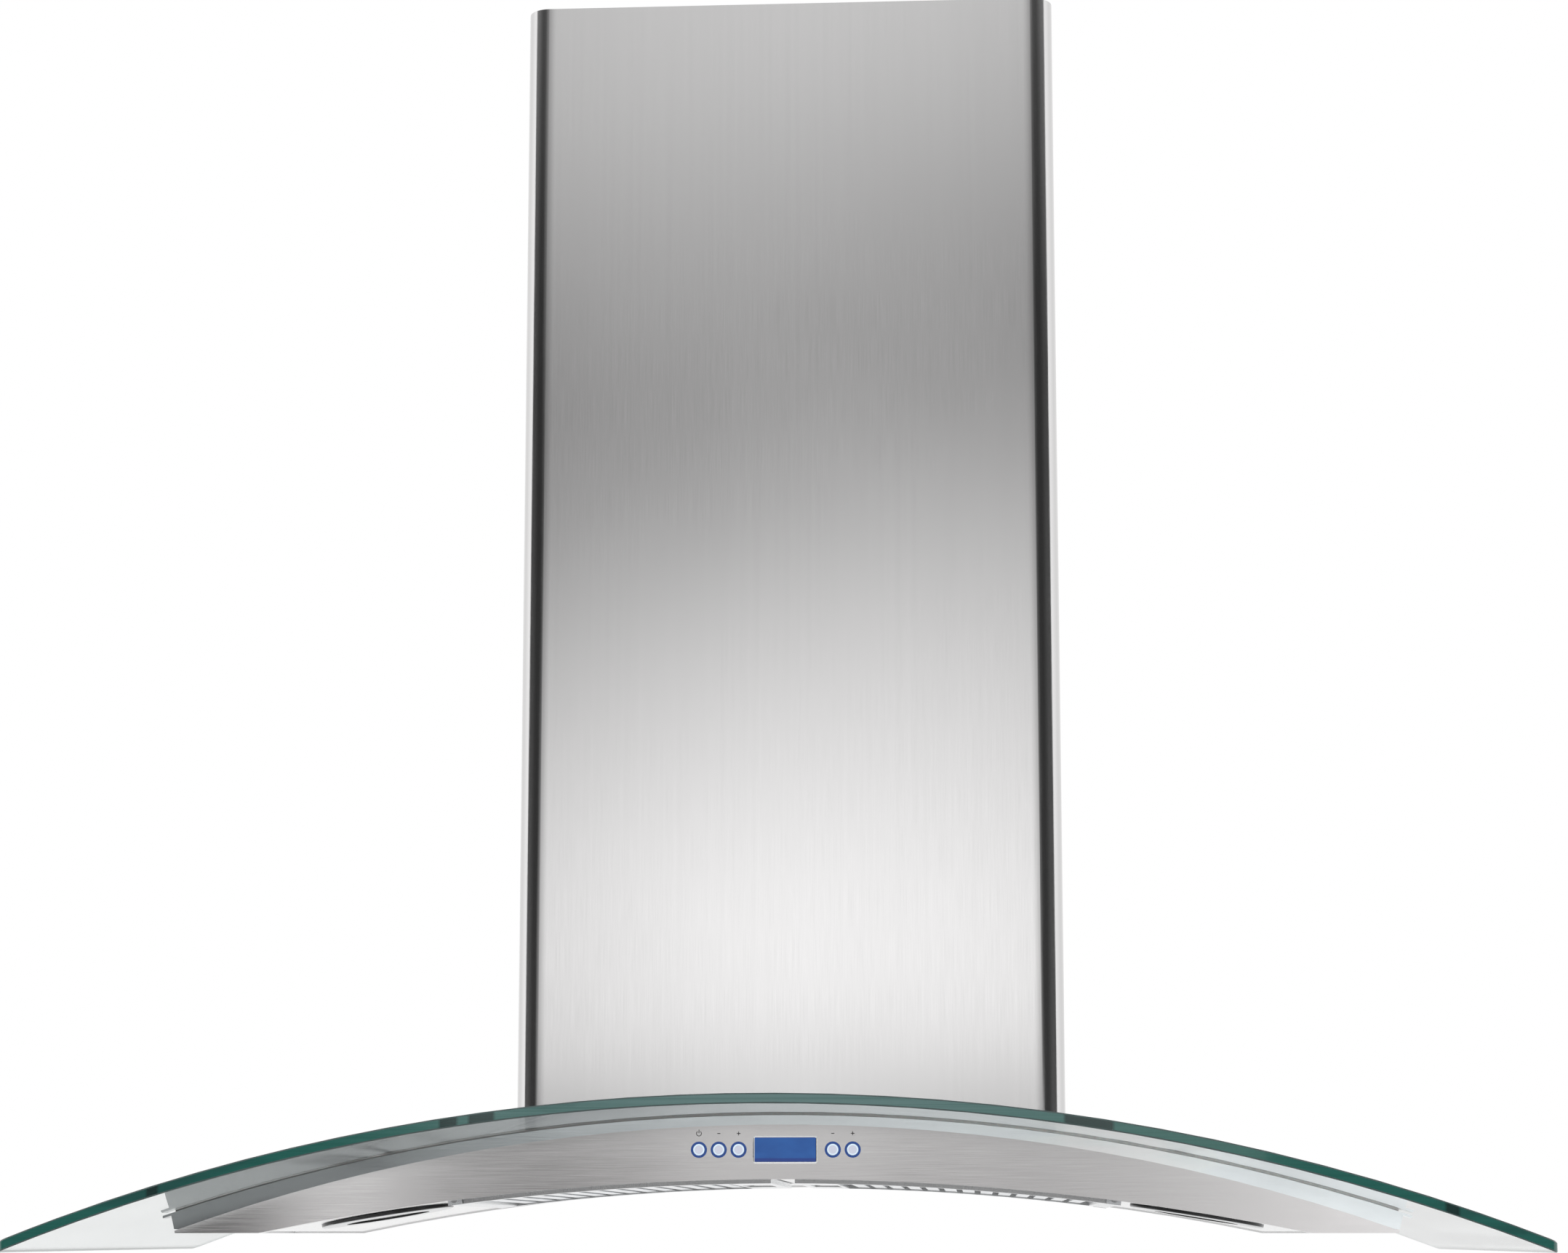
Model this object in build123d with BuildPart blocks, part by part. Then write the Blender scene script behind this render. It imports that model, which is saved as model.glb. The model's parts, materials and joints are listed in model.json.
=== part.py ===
from build123d import *
import os
from math import asin, degrees, radians, sin, cos, sqrt, tan

# Wall-hung extractor hood with an arched glass canopy, in millimetres.
# X runs to the right, Y runs towards the wall (the wall is the plane Y = 0) and Z runs up.
# The origin is the middle of the four wall screws. Heights are given above the bottom of
# the hood body and turned into Z by up().

# ---- driving dimensions --------------------------------------------------------------
wall_screw_height = 230.0      # middle of the wall screws above the body's bottom

glass_half_width = 450.0
glass_thickness = 6.0
glass_radius = 1243.0          # outer face of the arched sheet
glass_apex = 79.3              # top of the glass at its middle
glass_corner_reach = 480.0     # from the wall to the front corners
glass_bow = 25.0               # the front edge bows forward by this much
glass_wall_gap = 3.0
glass_arris = 0.8              # polished chamfer on the edges
glass_corner_radius = 7.0
notch_clearance = 4.0          # glass round the blower chassis
notch_corner_radius = 8.0

body_reach = 348.0             # from the wall to the face of the fascia
body_bottom_half = 377.5
body_flare = 3.0               # each end leans out this much towards the glass
sheet = 1.2                    # stainless sheet of the body
fascia_top_apex = 66.5
fascia_tip_height = 1.5        # the fascia runs out to this height at its ends
fascia_bottom_rise = 33.0
fascia_flat_start = 325.0      # the arched bottom edge turns flat here
fascia_return = 12.0           # hem folded back under the fascia
seal_thickness = 1.0
seal_width = 12.0
seal_gap = 0.1                 # hairline over and under the seal
rail_depth = 12.0
rail_recess = 0.4
rail_lip = 1.5
rail_lip_reach = 5.0

glass_screw_x = 250.0
glass_screw_rows = (300.0, 60.0)
glass_hole_radius = 6.0
glass_screw_radius = 3.0
glass_cap_radius = 9.0
glass_cap_height = 2.5
bush_clearance = 0.2
glass_nut_height = 5.0
glass_nut_radius = 5.8
seating_gap = 0.02             # left under flat pieces that seat against a curved sheet

opening_half = 212.0           # filter openings reach this far from the middle
opening_front = 322.0
opening_rear = 92.0
centre_strip_half = 5.5        # strip of the panel between the two filters
filter_gap_inner = 2.0
filter_gap_outer = 2.2
filter_gap_end = 1.5
filter_thickness = 12.0
filter_drop = 3.4              # the filters stand this far below the panel
frame_border = 12.0
handle_border = 26.0           # wider inner border that holds the pull handle
baffle_pitch = 12.0
baffle_width = 8.0
baffle_depth = 4.0
baffle_wall = 0.8
baffle_layer_gap = 1.2
pin_radius = 2.0
pin_inset = 3.5
pin_length = 5.0
running_clearance = 0.08
bracket_wall = 2.0
bracket_half_width = 4.5
bracket_foot = 9.0
magnet_size = 12.0
magnet_thickness = 2.5
magnet_gap = 0.3
magnet_rows = (290.0, 124.0)

handle_length = 76.0
handle_wire = 1.5
handle_reach = 13.0
handle_pocket_depth = 5.0
handle_pin_length = 4.0
handle_margin = 1.0            # pocket beyond the handle all round
handle_bend_radius = 2.4
pocket_border = 1.5            # frame left between the pocket and the baffles
baffle_lift = 1.0              # lower baffles above the frame's bottom
bracket_face_gap = 0.8         # filter's end face to its hinge bracket
bracket_top = 4.5              # bracket above the pin

lamp_x = 262.0
lamp_y = 250.0
lamp_hole_radius = 33.0
lamp_bezel_radius = 43.0
lamp_bezel_height = 2.6
lamp_lens_radius = 29.0
lamp_lens_thickness = 3.0
lamp_can_height = 17.0
lamp_can_wall = 1.2
lamp_can_flange = 6.0
lamp_led_radius = 20.0
lamp_led_chip = 3.6
lamp_led_count = 6
lamp_lens_lip = 2.0            # bezel's inner lip under the lens
lamp_neck_clearance = 0.3
lamp_neck_height = 3.0         # bezel's neck above the panel
lamp_fit = 0.15

button_height = 51.0
button_radius = 3.5
button_proud = 0.9
button_travel = 1.2
button_flange_radius = 4.6
button_flange = 0.8
ring_radius = 5.0
ring_flange_radius = 6.0
ring_flange = 0.8
ring_bore_clearance = 0.1
ring_proud = 0.4
button_pitch = 12.3
left_buttons_start = -50.3     # leftmost of the three left buttons
right_buttons_start = 32.6
display_left = -16.5
display_right = 22.9
display_height = 16.3
display_proud = 0.6
display_flange = 1.8
display_fit = 0.1
board_gap = 4.4                # fascia's back to the control board
board_length = 124.0
board_width = 26.0
board_thickness = 1.6
board_edge_margin = 4.0
stud_radius = 1.5
stud_collar = 3.0
switch_size = 4.0
button_seat_gap = 0.15

chimney_half_width = 179.0
chimney_reach = 255.0
chimney_corner = 15.0
chimney_sheet = 1.0
chimney_top = 829.5
chimney_hem = 12.0             # flange turned in along the wall
cover_gap = 0.6                # between the two covers
cover_rest_gap = 0.3           # upper cover above the tabs it rests on
upper_cover_bottom = 110.0
upper_cover_below_top = 2.0

chassis_half_width = 150.0
chassis_reach = 228.0
chassis_sheet = 1.2
chassis_top = 390.0
chassis_corner = 6.0
skin_opening_inset = 12.0      # flange of the skin under the blower chassis
wall_screw_spacing_x = 250.0
wall_screw_spacing_z = 140.0
wall_screw_radius = 4.0

wheel_radius = 75.0
wheel_inner_radius = 62.0
wheel_half_width = 52.0
wheel_blades = 36
blade_wall = 1.0
wheel_ring = 3.0
wheel_ring_lip = 1.0           # rings stand out beyond the blades
hub_disc = 2.0
hub_radius = 13.0
hub_length = 22.0
shaft_radius = 4.0
shaft_clearance = 1.0          # motor body round the shaft
wheel_y = -112.0
wheel_height = 200.0
blade_lead = 14.0              # degrees that a blade's tip leads its root
blade_belly = 3.0
nut_thickness = 5.0
nut_radius = 7.0
shaft_spare = 1.0              # shaft beyond the nut

volute_step = 8.0
volute_first_radius = 86.0
volute_half_width = 60.0
volute_wall = 2.0
volute_throat_top = 100.0      # above the wheel's middle
inlet_radius = 66.0

motor_radius = 38.0
motor_start = 16.0
motor_length = 62.0
motor_end_radius = 3.0
bearing_radius = 9.0
bearing_width = 6.0
bracket_ring_width = 5.0
bracket_arm_width = 12.0
bracket_screw_margin = 1.0     # arm screws beyond the middle of the arm's end
bracket_thickness = 3.0

collar_radius = 75.0
collar_wall = 2.0
collar_length = 70.0
collar_flange_radius = 84.0
collar_flange = 2.0
collar_root_height = 3.0       # tapered foot of the collar, as high as its screw heads and more
collar_root_draft = 11.0       # degrees
collar_y = -140.0
damper_height = 30.0           # flaps above the collar's flange
damper_offset = 4.5            # each flap's pin beside the collar's middle
damper_thickness = 1.2
damper_edge_gap = 0.8
damper_pin_radius = 1.5
damper_bar_width = 4.0
damper_bar_height = 2.0
damper_hub_wall = 0.8
damper_rest_gap = 0.3          # closed flaps above their seat
seat_ring_width = 3.0
collar_screw_circle = 79.5
fixing_screw_radius = 2.0      # one screw for collar, junction cover, motor and chassis foot
fixing_head_radius = 3.6
fixing_head_height = 2.0
fixing_screw_length = 6.5

junction_size = (48.0, 84.0, 34.0)
junction_x = 116.0
junction_y = -70.0
junction_wall = 2.0
junction_corner = 4.0
cover_screw_inset = 6.0        # cover screws from the box's outer faces
driver_size = (44.0, 96.0, 26.0)
driver_x = -118.0
driver_y = -80.0
gland_radius = 8.0              # across the corners of its hexagon
gland_neck_radius = 6.4
gland_hexagon_height = 5.4
gland_bore = 4.0
gland_length = 16.0
capacitor_radius = 14.0
capacitor_length = 52.0
case_edge_radius = 2.0


def up(height):
    """Z of a height above the body's bottom."""
    return height - wall_screw_height


def arch_height(x, apex, radius):
    """Height of an arch's surface at x."""
    return apex - radius + sqrt(radius * radius - x * x)


def seat_depth(reach, radius):
    """How far a curved sheet falls away across a flat piece that seats against it."""
    return radius - sqrt(radius * radius - reach * reach) + seating_gap


def three_point_radius(half_chord, rise):
    """Radius of the arc that rises this much over a chord."""
    return (half_chord * half_chord + rise * rise) / (2 * rise)


# the body's slanted ends and the arcs that several pieces share
glass_under_apex = glass_apex - glass_thickness
glass_under_radius = glass_radius - glass_thickness
top_skin_apex = glass_under_apex - seal_thickness
top_skin_radius = glass_under_radius - seal_thickness
body_top_half = body_bottom_half + body_flare
body_corner_height = arch_height(body_top_half, top_skin_apex, top_skin_radius)
body_end_slope = body_flare / body_corner_height
fascia_tip_half = body_bottom_half + fascia_tip_height * body_end_slope
fascia_top_radius = three_point_radius(fascia_tip_half, fascia_top_apex - fascia_tip_height)
fascia_bottom_radius = three_point_radius(fascia_flat_start, fascia_bottom_rise)
panel_apex = fascia_bottom_rise + sheet
filter_apex = panel_apex - filter_drop

# where the filters lie, on the right-hand side; the left one is its mirror image
filter_inner = centre_strip_half + filter_gap_inner
filter_outer = opening_half - filter_gap_outer
filter_front = opening_front - filter_gap_end
filter_rear = opening_rear + filter_gap_end
pin_x = filter_outer - pin_inset
pin_height = arch_height(filter_outer, filter_apex, fascia_bottom_radius) + pin_inset


def arc_through(left, right, apex, radius):
    """Stretch of an arch between two distances from the middle, in the plane of a section."""
    middle = (left + right) / 2
    return ThreePointArc(*[(x, up(arch_height(x, apex, radius))) for x in (left, middle, right)])


def slab_section(left, right, apex, radius, thickness, reach):
    """Section of a sheet that follows an arch, standing at a distance from the wall."""
    with BuildSketch(Plane.XZ.offset(reach)) as section:
        with BuildLine():
            outer = arc_through(left, right, apex, radius)
            inner = arc_through(left, right, apex - thickness, radius - thickness)
            Line(outer @ 0, inner @ 0)
            Line(outer @ 1, inner @ 1)
        make_face()
    return section.sketch


def under_arch_section(apex, radius):
    """Everything below an arch across the middle of the hood, from the body's bottom up."""
    half = glass_half_width / 2
    with BuildSketch(Plane.XZ) as section:
        with BuildLine():
            arch = arc_through(-half, half, apex, radius)
            Polyline(arch @ 0, (-half, up(0)), (half, up(0)), arch @ 1)
        make_face()
    return section.sketch


def arch_plane(x, reach, apex, radius):
    """Plane that touches an arched surface, its normal pointing outward."""
    tilt = degrees(asin(x / radius))
    origin = (x, -reach, up(arch_height(x, apex, radius)))
    return Plane(origin=origin, x_dir=(cos(radians(tilt)), 0, -sin(radians(tilt))),
                 z_dir=(sin(radians(tilt)), 0, cos(radians(tilt))))


def save(piece, label):
    piece.part.label = label
    export_step(piece.part, f"parts/{label}.step")


os.makedirs("parts", exist_ok=True)

# ---- arched glass canopy -------------------------------------------------------------
glass_screw_planes = [
    arch_plane(side * glass_screw_x, row, glass_apex, glass_radius)
    for side in (-1, 1)
    for row in glass_screw_rows
]
notch_half = chassis_half_width + notch_clearance
notch_reach = chassis_reach + notch_clearance

with BuildPart() as glass_canopy:
    glass_section = slab_section(-glass_half_width, glass_half_width, glass_apex,
                                 glass_radius, glass_thickness, reach=0)
    extrude(glass_section, amount=glass_corner_reach + glass_bow)
    with BuildSketch(Plane.XY.offset(up(-glass_apex))) as plan:
        with BuildLine():
            front_edge = ThreePointArc(
                (-glass_half_width, -glass_corner_reach),
                (0, -glass_corner_reach - glass_bow),
                (glass_half_width, -glass_corner_reach),
            )
            Polyline(
                front_edge @ 1,
                (glass_half_width, -glass_wall_gap),
                (notch_half, -glass_wall_gap),
                (notch_half, -notch_reach),
                (-notch_half, -notch_reach),
                (-notch_half, -glass_wall_gap),
                (-glass_half_width, -glass_wall_gap),
                front_edge @ 0,
            )
        make_face()
        notch_corners = plan.vertices().group_by(Axis.Y)[2]
        fillet(notch_corners, radius=notch_corner_radius)
        outer_corners = plan.vertices().group_by(Axis.X)[0] + plan.vertices().group_by(Axis.X)[-1]
        fillet(outer_corners, radius=glass_corner_radius)
    extrude(amount=3 * glass_apex, mode=Mode.INTERSECT)
    front_edges = [
        edge for edge in glass_canopy.edges()
        if edge.center().Y < -glass_corner_reach * 0.9 and edge.length > glass_half_width
    ]
    side_edges = [
        edge for edge in glass_canopy.edges().filter_by(Axis.Y)
        if abs(edge.center().X) > glass_half_width * 0.9
    ]
    chamfer(front_edges + side_edges, length=glass_arris)
    with BuildSketch(*glass_screw_planes):
        Circle(glass_hole_radius)
    extrude(amount=2 * glass_thickness, both=True, mode=Mode.SUBTRACT)
save(glass_canopy, "glass_canopy")

# ---- seal, nylon bushes and screws that carry the glass ------------------------------
seal_half = body_bottom_half
seal_front = body_reach - rail_recess

with BuildPart() as glass_seal:
    seal_section = slab_section(-seal_half, seal_half, glass_under_apex - seal_gap,
                                glass_under_radius - seal_gap, seal_thickness - 2 * seal_gap,
                                reach=glass_wall_gap)
    extrude(seal_section, amount=seal_front - glass_wall_gap)
    with BuildSketch(Plane.XY.offset(up(-glass_apex))):
        with Locations((0, -(seal_front + glass_wall_gap) / 2)):
            Rectangle(2 * seal_half, seal_front - glass_wall_gap)
            Rectangle(2 * (seal_half - seal_width), seal_front - glass_wall_gap - 2 * seal_width,
                      mode=Mode.SUBTRACT)
        with Locations((0, 0)):
            Rectangle(2 * (notch_half + seal_width), 2 * (notch_reach + seal_width))
            Rectangle(2 * notch_half, 2 * notch_reach, mode=Mode.SUBTRACT)
    extrude(amount=3 * glass_apex, mode=Mode.INTERSECT)
save(glass_seal, "glass_seal")

bush_bottom = glass_thickness + seal_thickness

with BuildPart() as glass_bushes:
    with BuildSketch(*[plane.offset(-bush_bottom) for plane in glass_screw_planes]):
        Circle(glass_hole_radius - bush_clearance)
        Circle(glass_screw_radius + running_clearance, mode=Mode.SUBTRACT)
    extrude(amount=bush_bottom)
    with BuildSketch(*glass_screw_planes):
        Circle(glass_cap_radius)
        Circle(glass_screw_radius + running_clearance, mode=Mode.SUBTRACT)
    extrude(amount=seal_thickness)
save(glass_bushes, "glass_bushes")

nut_seat = seat_depth(glass_nut_radius, top_skin_radius - sheet)
screw_reach_down = bush_bottom + sheet + nut_seat + glass_nut_height

with BuildPart() as glass_screws:
    with BuildSketch(*[plane.offset(-screw_reach_down) for plane in glass_screw_planes]):
        Circle(glass_screw_radius)
    extrude(amount=screw_reach_down + seal_thickness)
    with BuildSketch(*[plane.offset(seal_thickness) for plane in glass_screw_planes]):
        Circle(glass_cap_radius)
    extrude(amount=glass_cap_height)
    cap_tops = [plane.offset(seal_thickness + glass_cap_height) for plane in glass_screw_planes]
    top_rims = [
        edge for edge in glass_screws.edges().filter_by(GeomType.CIRCLE)
        if any((edge.arc_center - top.origin).length < glass_arris for top in cap_tops)
    ]
    fillet(top_rims, radius=glass_cap_height / 2)
save(glass_screws, "glass_screws")

with BuildPart() as glass_nuts:
    with BuildSketch(*[plane.offset(-screw_reach_down) for plane in glass_screw_planes]):
        RegularPolygon(glass_nut_radius, side_count=6)
        Circle(glass_screw_radius, mode=Mode.SUBTRACT)
    extrude(amount=glass_nut_height)
save(glass_nuts, "glass_nuts")

# ---- rail under the front of the glass -----------------------------------------------
rail_back = body_reach - rail_recess - rail_depth

with BuildPart() as glass_rail:
    with BuildSketch(Plane.XZ.offset(rail_back)):
        with BuildLine():
            rail_top = arc_through(-body_top_half, body_top_half, top_skin_apex, top_skin_radius)
            rail_foot = arc_through(-fascia_tip_half, fascia_tip_half, fascia_top_apex,
                                    fascia_top_radius)
            Line(rail_top @ 0, rail_foot @ 0)
            Line(rail_top @ 1, rail_foot @ 1)
        make_face()
    extrude(amount=rail_depth)
    lip_half = body_top_half + rail_lip_reach
    rail_lip_section = slab_section(-lip_half, lip_half, top_skin_apex, top_skin_radius,
                                    rail_lip, reach=rail_back)
    extrude(rail_lip_section, amount=rail_depth)
    with BuildSketch(Plane.XZ.offset(rail_back)):
        with Locations((0, up(0))):
            Rectangle(2 * body_top_half, 4 * sheet)
    extrude(amount=rail_depth, mode=Mode.SUBTRACT)
save(glass_rail, "glass_rail")

# ---- arched front fascia with its hem ------------------------------------------------
left_button_places = [left_buttons_start + index * button_pitch for index in range(3)]
right_button_places = [right_buttons_start + index * button_pitch for index in range(2)]
button_places = left_button_places + right_button_places
board_middle = (button_places[0] + button_places[-1]) / 2
button_names = ["power", "light_down", "light_up", "fan_down", "fan_up"]
display_middle = (display_left + display_right) / 2
display_width = display_right - display_left
fascia_back = body_reach - sheet


def underside_section(lift, thickness, half_width, reach):
    """Section of a sheet that follows the fascia's bottom edge, lifted above it."""
    with BuildSketch(Plane.XZ.offset(reach)) as section:
        with BuildLine():
            for level in (lift, lift + thickness):
                for side in (-1, 1):
                    Line((side * half_width, up(level)), (side * fascia_flat_start, up(level)))
                ThreePointArc((-fascia_flat_start, up(level)),
                              (0, up(level + fascia_bottom_rise)),
                              (fascia_flat_start, up(level)))
            for side in (-1, 1):
                Line((side * half_width, up(lift)), (side * half_width, up(lift + thickness)))
        make_face()
    return section.sketch


with BuildPart() as front_fascia:
    with BuildSketch(Plane.XZ.offset(fascia_back)):
        with BuildLine():
            crown = arc_through(-fascia_tip_half, fascia_tip_half, fascia_top_apex,
                                fascia_top_radius)
            Polyline(crown @ 0, (-body_bottom_half, up(0)), (-fascia_flat_start, up(0)))
            ThreePointArc((-fascia_flat_start, up(0)), (0, up(fascia_bottom_rise)),
                          (fascia_flat_start, up(0)))
            Polyline((fascia_flat_start, up(0)), (body_bottom_half, up(0)), crown @ 1)
        make_face()
        with Locations(*[(x, up(button_height)) for x in button_places]):
            Circle(ring_radius, mode=Mode.SUBTRACT)
        with Locations((display_middle, up(button_height))):
            Rectangle(display_width, display_height, mode=Mode.SUBTRACT)
    extrude(amount=sheet)
    hem_section = underside_section(0, sheet, body_bottom_half,
                                    reach=body_reach - fascia_return)
    extrude(hem_section, amount=fascia_return - sheet)
save(front_fascia, "front_fascia")

# ---- hood shell: arched top skin, ends and back --------------------------------------
def body_outline():
    """Outline of the body's section, from the flat bottom to the arched top skin."""
    with BuildSketch(Plane.XZ) as section:
        with BuildLine():
            skin = arc_through(-body_top_half, body_top_half, top_skin_apex, top_skin_radius)
            Polyline(skin @ 0, (-body_bottom_half, up(0)), (body_bottom_half, up(0)), skin @ 1)
        make_face()
    return section


chassis_foot_apex = top_skin_apex + chassis_sheet
chassis_foot_radius = top_skin_radius + chassis_sheet
foot_screw_x = chassis_half_width - skin_opening_inset / 2
foot_screw_rows = (60.0, 170.0)
foot_screw_planes = [
    arch_plane(side * foot_screw_x, row, chassis_foot_apex, chassis_foot_radius)
    for side in (-1, 1)
    for row in foot_screw_rows
]

with BuildPart() as hood_shell:
    with BuildSketch(Plane.XZ.offset(sheet)):
        add(body_outline().sketch_local)
        offset(amount=-sheet, mode=Mode.SUBTRACT)
        with Locations((0, up(0))):
            Rectangle(2 * (body_bottom_half - sheet), 4 * sheet, mode=Mode.SUBTRACT)
    extrude(amount=rail_back - sheet)
    extrude(body_outline().sketch, amount=sheet)
    with BuildSketch(Plane.XZ):
        with BuildLine():
            back_arch = ThreePointArc(
                (-fascia_flat_start, up(0)),
                (0, up(fascia_bottom_rise)),
                (fascia_flat_start, up(0)),
            )
            Line(back_arch @ 1, back_arch @ 0)
        make_face()
    extrude(amount=sheet, mode=Mode.SUBTRACT)
    with BuildSketch(Plane.XY.offset(up(body_corner_height))):
        with Locations((0, -chassis_reach / 2)):
            Rectangle(2 * (chassis_half_width - skin_opening_inset),
                      chassis_reach - 2 * skin_opening_inset)
    extrude(amount=glass_apex, mode=Mode.SUBTRACT)
    with BuildSketch(*glass_screw_planes):
        Circle(glass_screw_radius + bush_clearance)
    extrude(amount=-4 * glass_thickness, mode=Mode.SUBTRACT)
    with BuildSketch(*foot_screw_planes):
        Circle(fixing_screw_radius)
    extrude(amount=-2 * glass_thickness, mode=Mode.SUBTRACT)
save(hood_shell, "hood_shell")

# ---- arched underside panel ----------------------------------------------------------
panel_half = body_bottom_half - sheet
opening_width = opening_half - centre_strip_half
opening_middle = (opening_half + centre_strip_half) / 2
opening_length = opening_front - opening_rear
bracket_notch = pin_length + filter_gap_end
lamp_planes = [arch_plane(side * lamp_x, lamp_y, panel_apex, fascia_bottom_radius)
               for side in (-1, 1)]

with BuildPart() as underside_panel:
    extrude(underside_section(sheet, sheet, panel_half, reach=sheet),
            amount=fascia_back - sheet)
    with BuildSketch(Plane.XY.offset(up(0))):
        with Locations(*[(side * opening_middle, -(opening_front + opening_rear) / 2)
                         for side in (-1, 1)]):
            Rectangle(opening_width, opening_length)
        with Locations(*[(side * pin_x, -(opening_front + opening_rear) / 2)
                         for side in (-1, 1)]):
            Rectangle(2 * bracket_half_width + filter_gap_end,
                      opening_length + 2 * bracket_notch)
    extrude(amount=2 * panel_apex, mode=Mode.SUBTRACT)
    with BuildSketch(*lamp_planes):
        Circle(lamp_hole_radius)
    extrude(amount=4 * sheet, both=True, mode=Mode.SUBTRACT)
save(underside_panel, "underside_panel")

# ---- baffle filters: frame, baffles and folding handle -------------------------------
filter_top_apex = filter_apex + filter_thickness
filter_top_radius = fascia_bottom_radius + filter_thickness
mesh_left = filter_inner + handle_border
mesh_right = filter_outer - frame_border
mesh_front = filter_front - frame_border
mesh_rear = filter_rear + frame_border
filter_middle_y = -(filter_front + filter_rear) / 2

handle_pivot_x = (filter_inner + handle_border - pocket_border - 2 * handle_margin
                  - handle_wire)
handle_grip_x = handle_pivot_x - handle_reach
pocket_left = handle_grip_x - handle_wire - handle_margin
pocket_right = handle_pivot_x + handle_wire + handle_margin
pocket_half_length = handle_length / 2 + handle_wire + handle_margin
pocket_ceiling = arch_height(pocket_right, filter_apex, fascia_bottom_radius) + handle_pocket_depth
handle_axis_height = pocket_ceiling - handle_margin - handle_wire
handle_pin_end = pocket_half_length + handle_pin_length

with BuildPart() as filter_frame_right:
    frame_section = slab_section(filter_inner, filter_outer, filter_top_apex, filter_top_radius,
                                 filter_thickness, reach=filter_rear)
    extrude(frame_section, amount=filter_front - filter_rear)
    with BuildSketch(Plane.XY.offset(up(0))):
        with Locations(((mesh_left + mesh_right) / 2, filter_middle_y)):
            Rectangle(mesh_right - mesh_left, mesh_front - mesh_rear)
    extrude(amount=2 * filter_top_apex, mode=Mode.SUBTRACT)
    with BuildSketch(Plane.XY.offset(up(pocket_ceiling))):
        with Locations(((pocket_left + pocket_right) / 2, filter_middle_y)):
            Rectangle(pocket_right - pocket_left, 2 * pocket_half_length)
    extrude(amount=-2 * handle_pocket_depth, mode=Mode.SUBTRACT)
    with BuildSketch(Plane.XZ.offset(-filter_middle_y)):
        with Locations((handle_pivot_x, up(handle_axis_height))):
            Circle(handle_wire + running_clearance)
    extrude(amount=handle_pin_end + handle_margin, both=True, mode=Mode.SUBTRACT)
    with BuildSketch(Plane.XZ.offset(filter_front)):
        with Locations((pin_x, up(pin_height))):
            Circle(pin_radius)
    extrude(amount=pin_length)
    with BuildSketch(Plane.XZ.offset(filter_rear)):
        with Locations((pin_x, up(pin_height))):
            Circle(pin_radius)
    extrude(amount=-pin_length)
save(filter_frame_right, "filter_frame_right")

with BuildSketch() as baffle_channel:
    Rectangle(baffle_width, baffle_depth, align=(Align.CENTER, Align.MIN))
    with Locations((0, baffle_wall)):
        Rectangle(baffle_width - 2 * baffle_wall, baffle_depth,
                  align=(Align.CENTER, Align.MIN), mode=Mode.SUBTRACT)

lower_count = int((mesh_right - mesh_left - 2 * baffle_width) // baffle_pitch) + 1
lower_start = (mesh_left + mesh_right - (lower_count - 1) * baffle_pitch) / 2
lower_places = [lower_start + index * baffle_pitch for index in range(lower_count)]
upper_places = [lower_start + (index - 0.5) * baffle_pitch for index in range(lower_count + 1)]
upper_lift = baffle_lift + 2 * baffle_depth + baffle_layer_gap


def baffle_location(x, lift, turn):
    """Place of a baffle's section on the arch, turned by half a turn for the upper layer."""
    slope = degrees(asin(x / fascia_bottom_radius))
    height = arch_height(x, filter_apex, fascia_bottom_radius) + lift
    return Location((x, up(height), 0), (0, 0, turn - slope))


with BuildPart() as filter_baffles_right:
    with BuildSketch(Plane.XZ.offset(mesh_rear)):
        with Locations(*[baffle_location(x, baffle_lift, 0) for x in lower_places]):
            add(baffle_channel.sketch)
        with Locations(*[baffle_location(x, upper_lift, 180) for x in upper_places]):
            add(baffle_channel.sketch)
    extrude(amount=mesh_front - mesh_rear)
save(filter_baffles_right, "filter_baffles_right")

with BuildPart() as filter_handle_right:
    with BuildLine() as handle_line:
        FilletPolyline(
            (handle_pivot_x, filter_middle_y - handle_pin_end, up(handle_axis_height)),
            (handle_pivot_x, filter_middle_y - handle_length / 2, up(handle_axis_height)),
            (handle_grip_x, filter_middle_y - handle_length / 2, up(handle_axis_height)),
            (handle_grip_x, filter_middle_y + handle_length / 2, up(handle_axis_height)),
            (handle_pivot_x, filter_middle_y + handle_length / 2, up(handle_axis_height)),
            (handle_pivot_x, filter_middle_y + handle_pin_end, up(handle_axis_height)),
            radius=handle_bend_radius,
        )
    with BuildSketch(Plane(origin=handle_line.line @ 0, z_dir=handle_line.line % 0)):
        Circle(handle_wire)
    sweep()
save(filter_handle_right, "filter_handle_right")

for piece, name in (
    (filter_frame_right, "filter_frame_left"),
    (filter_baffles_right, "filter_baffles_left"),
    (filter_handle_right, "filter_handle_left"),
):
    with BuildPart() as mirrored:
        mirror(piece.part, about=Plane.YZ)
    save(mirrored, name)

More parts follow.
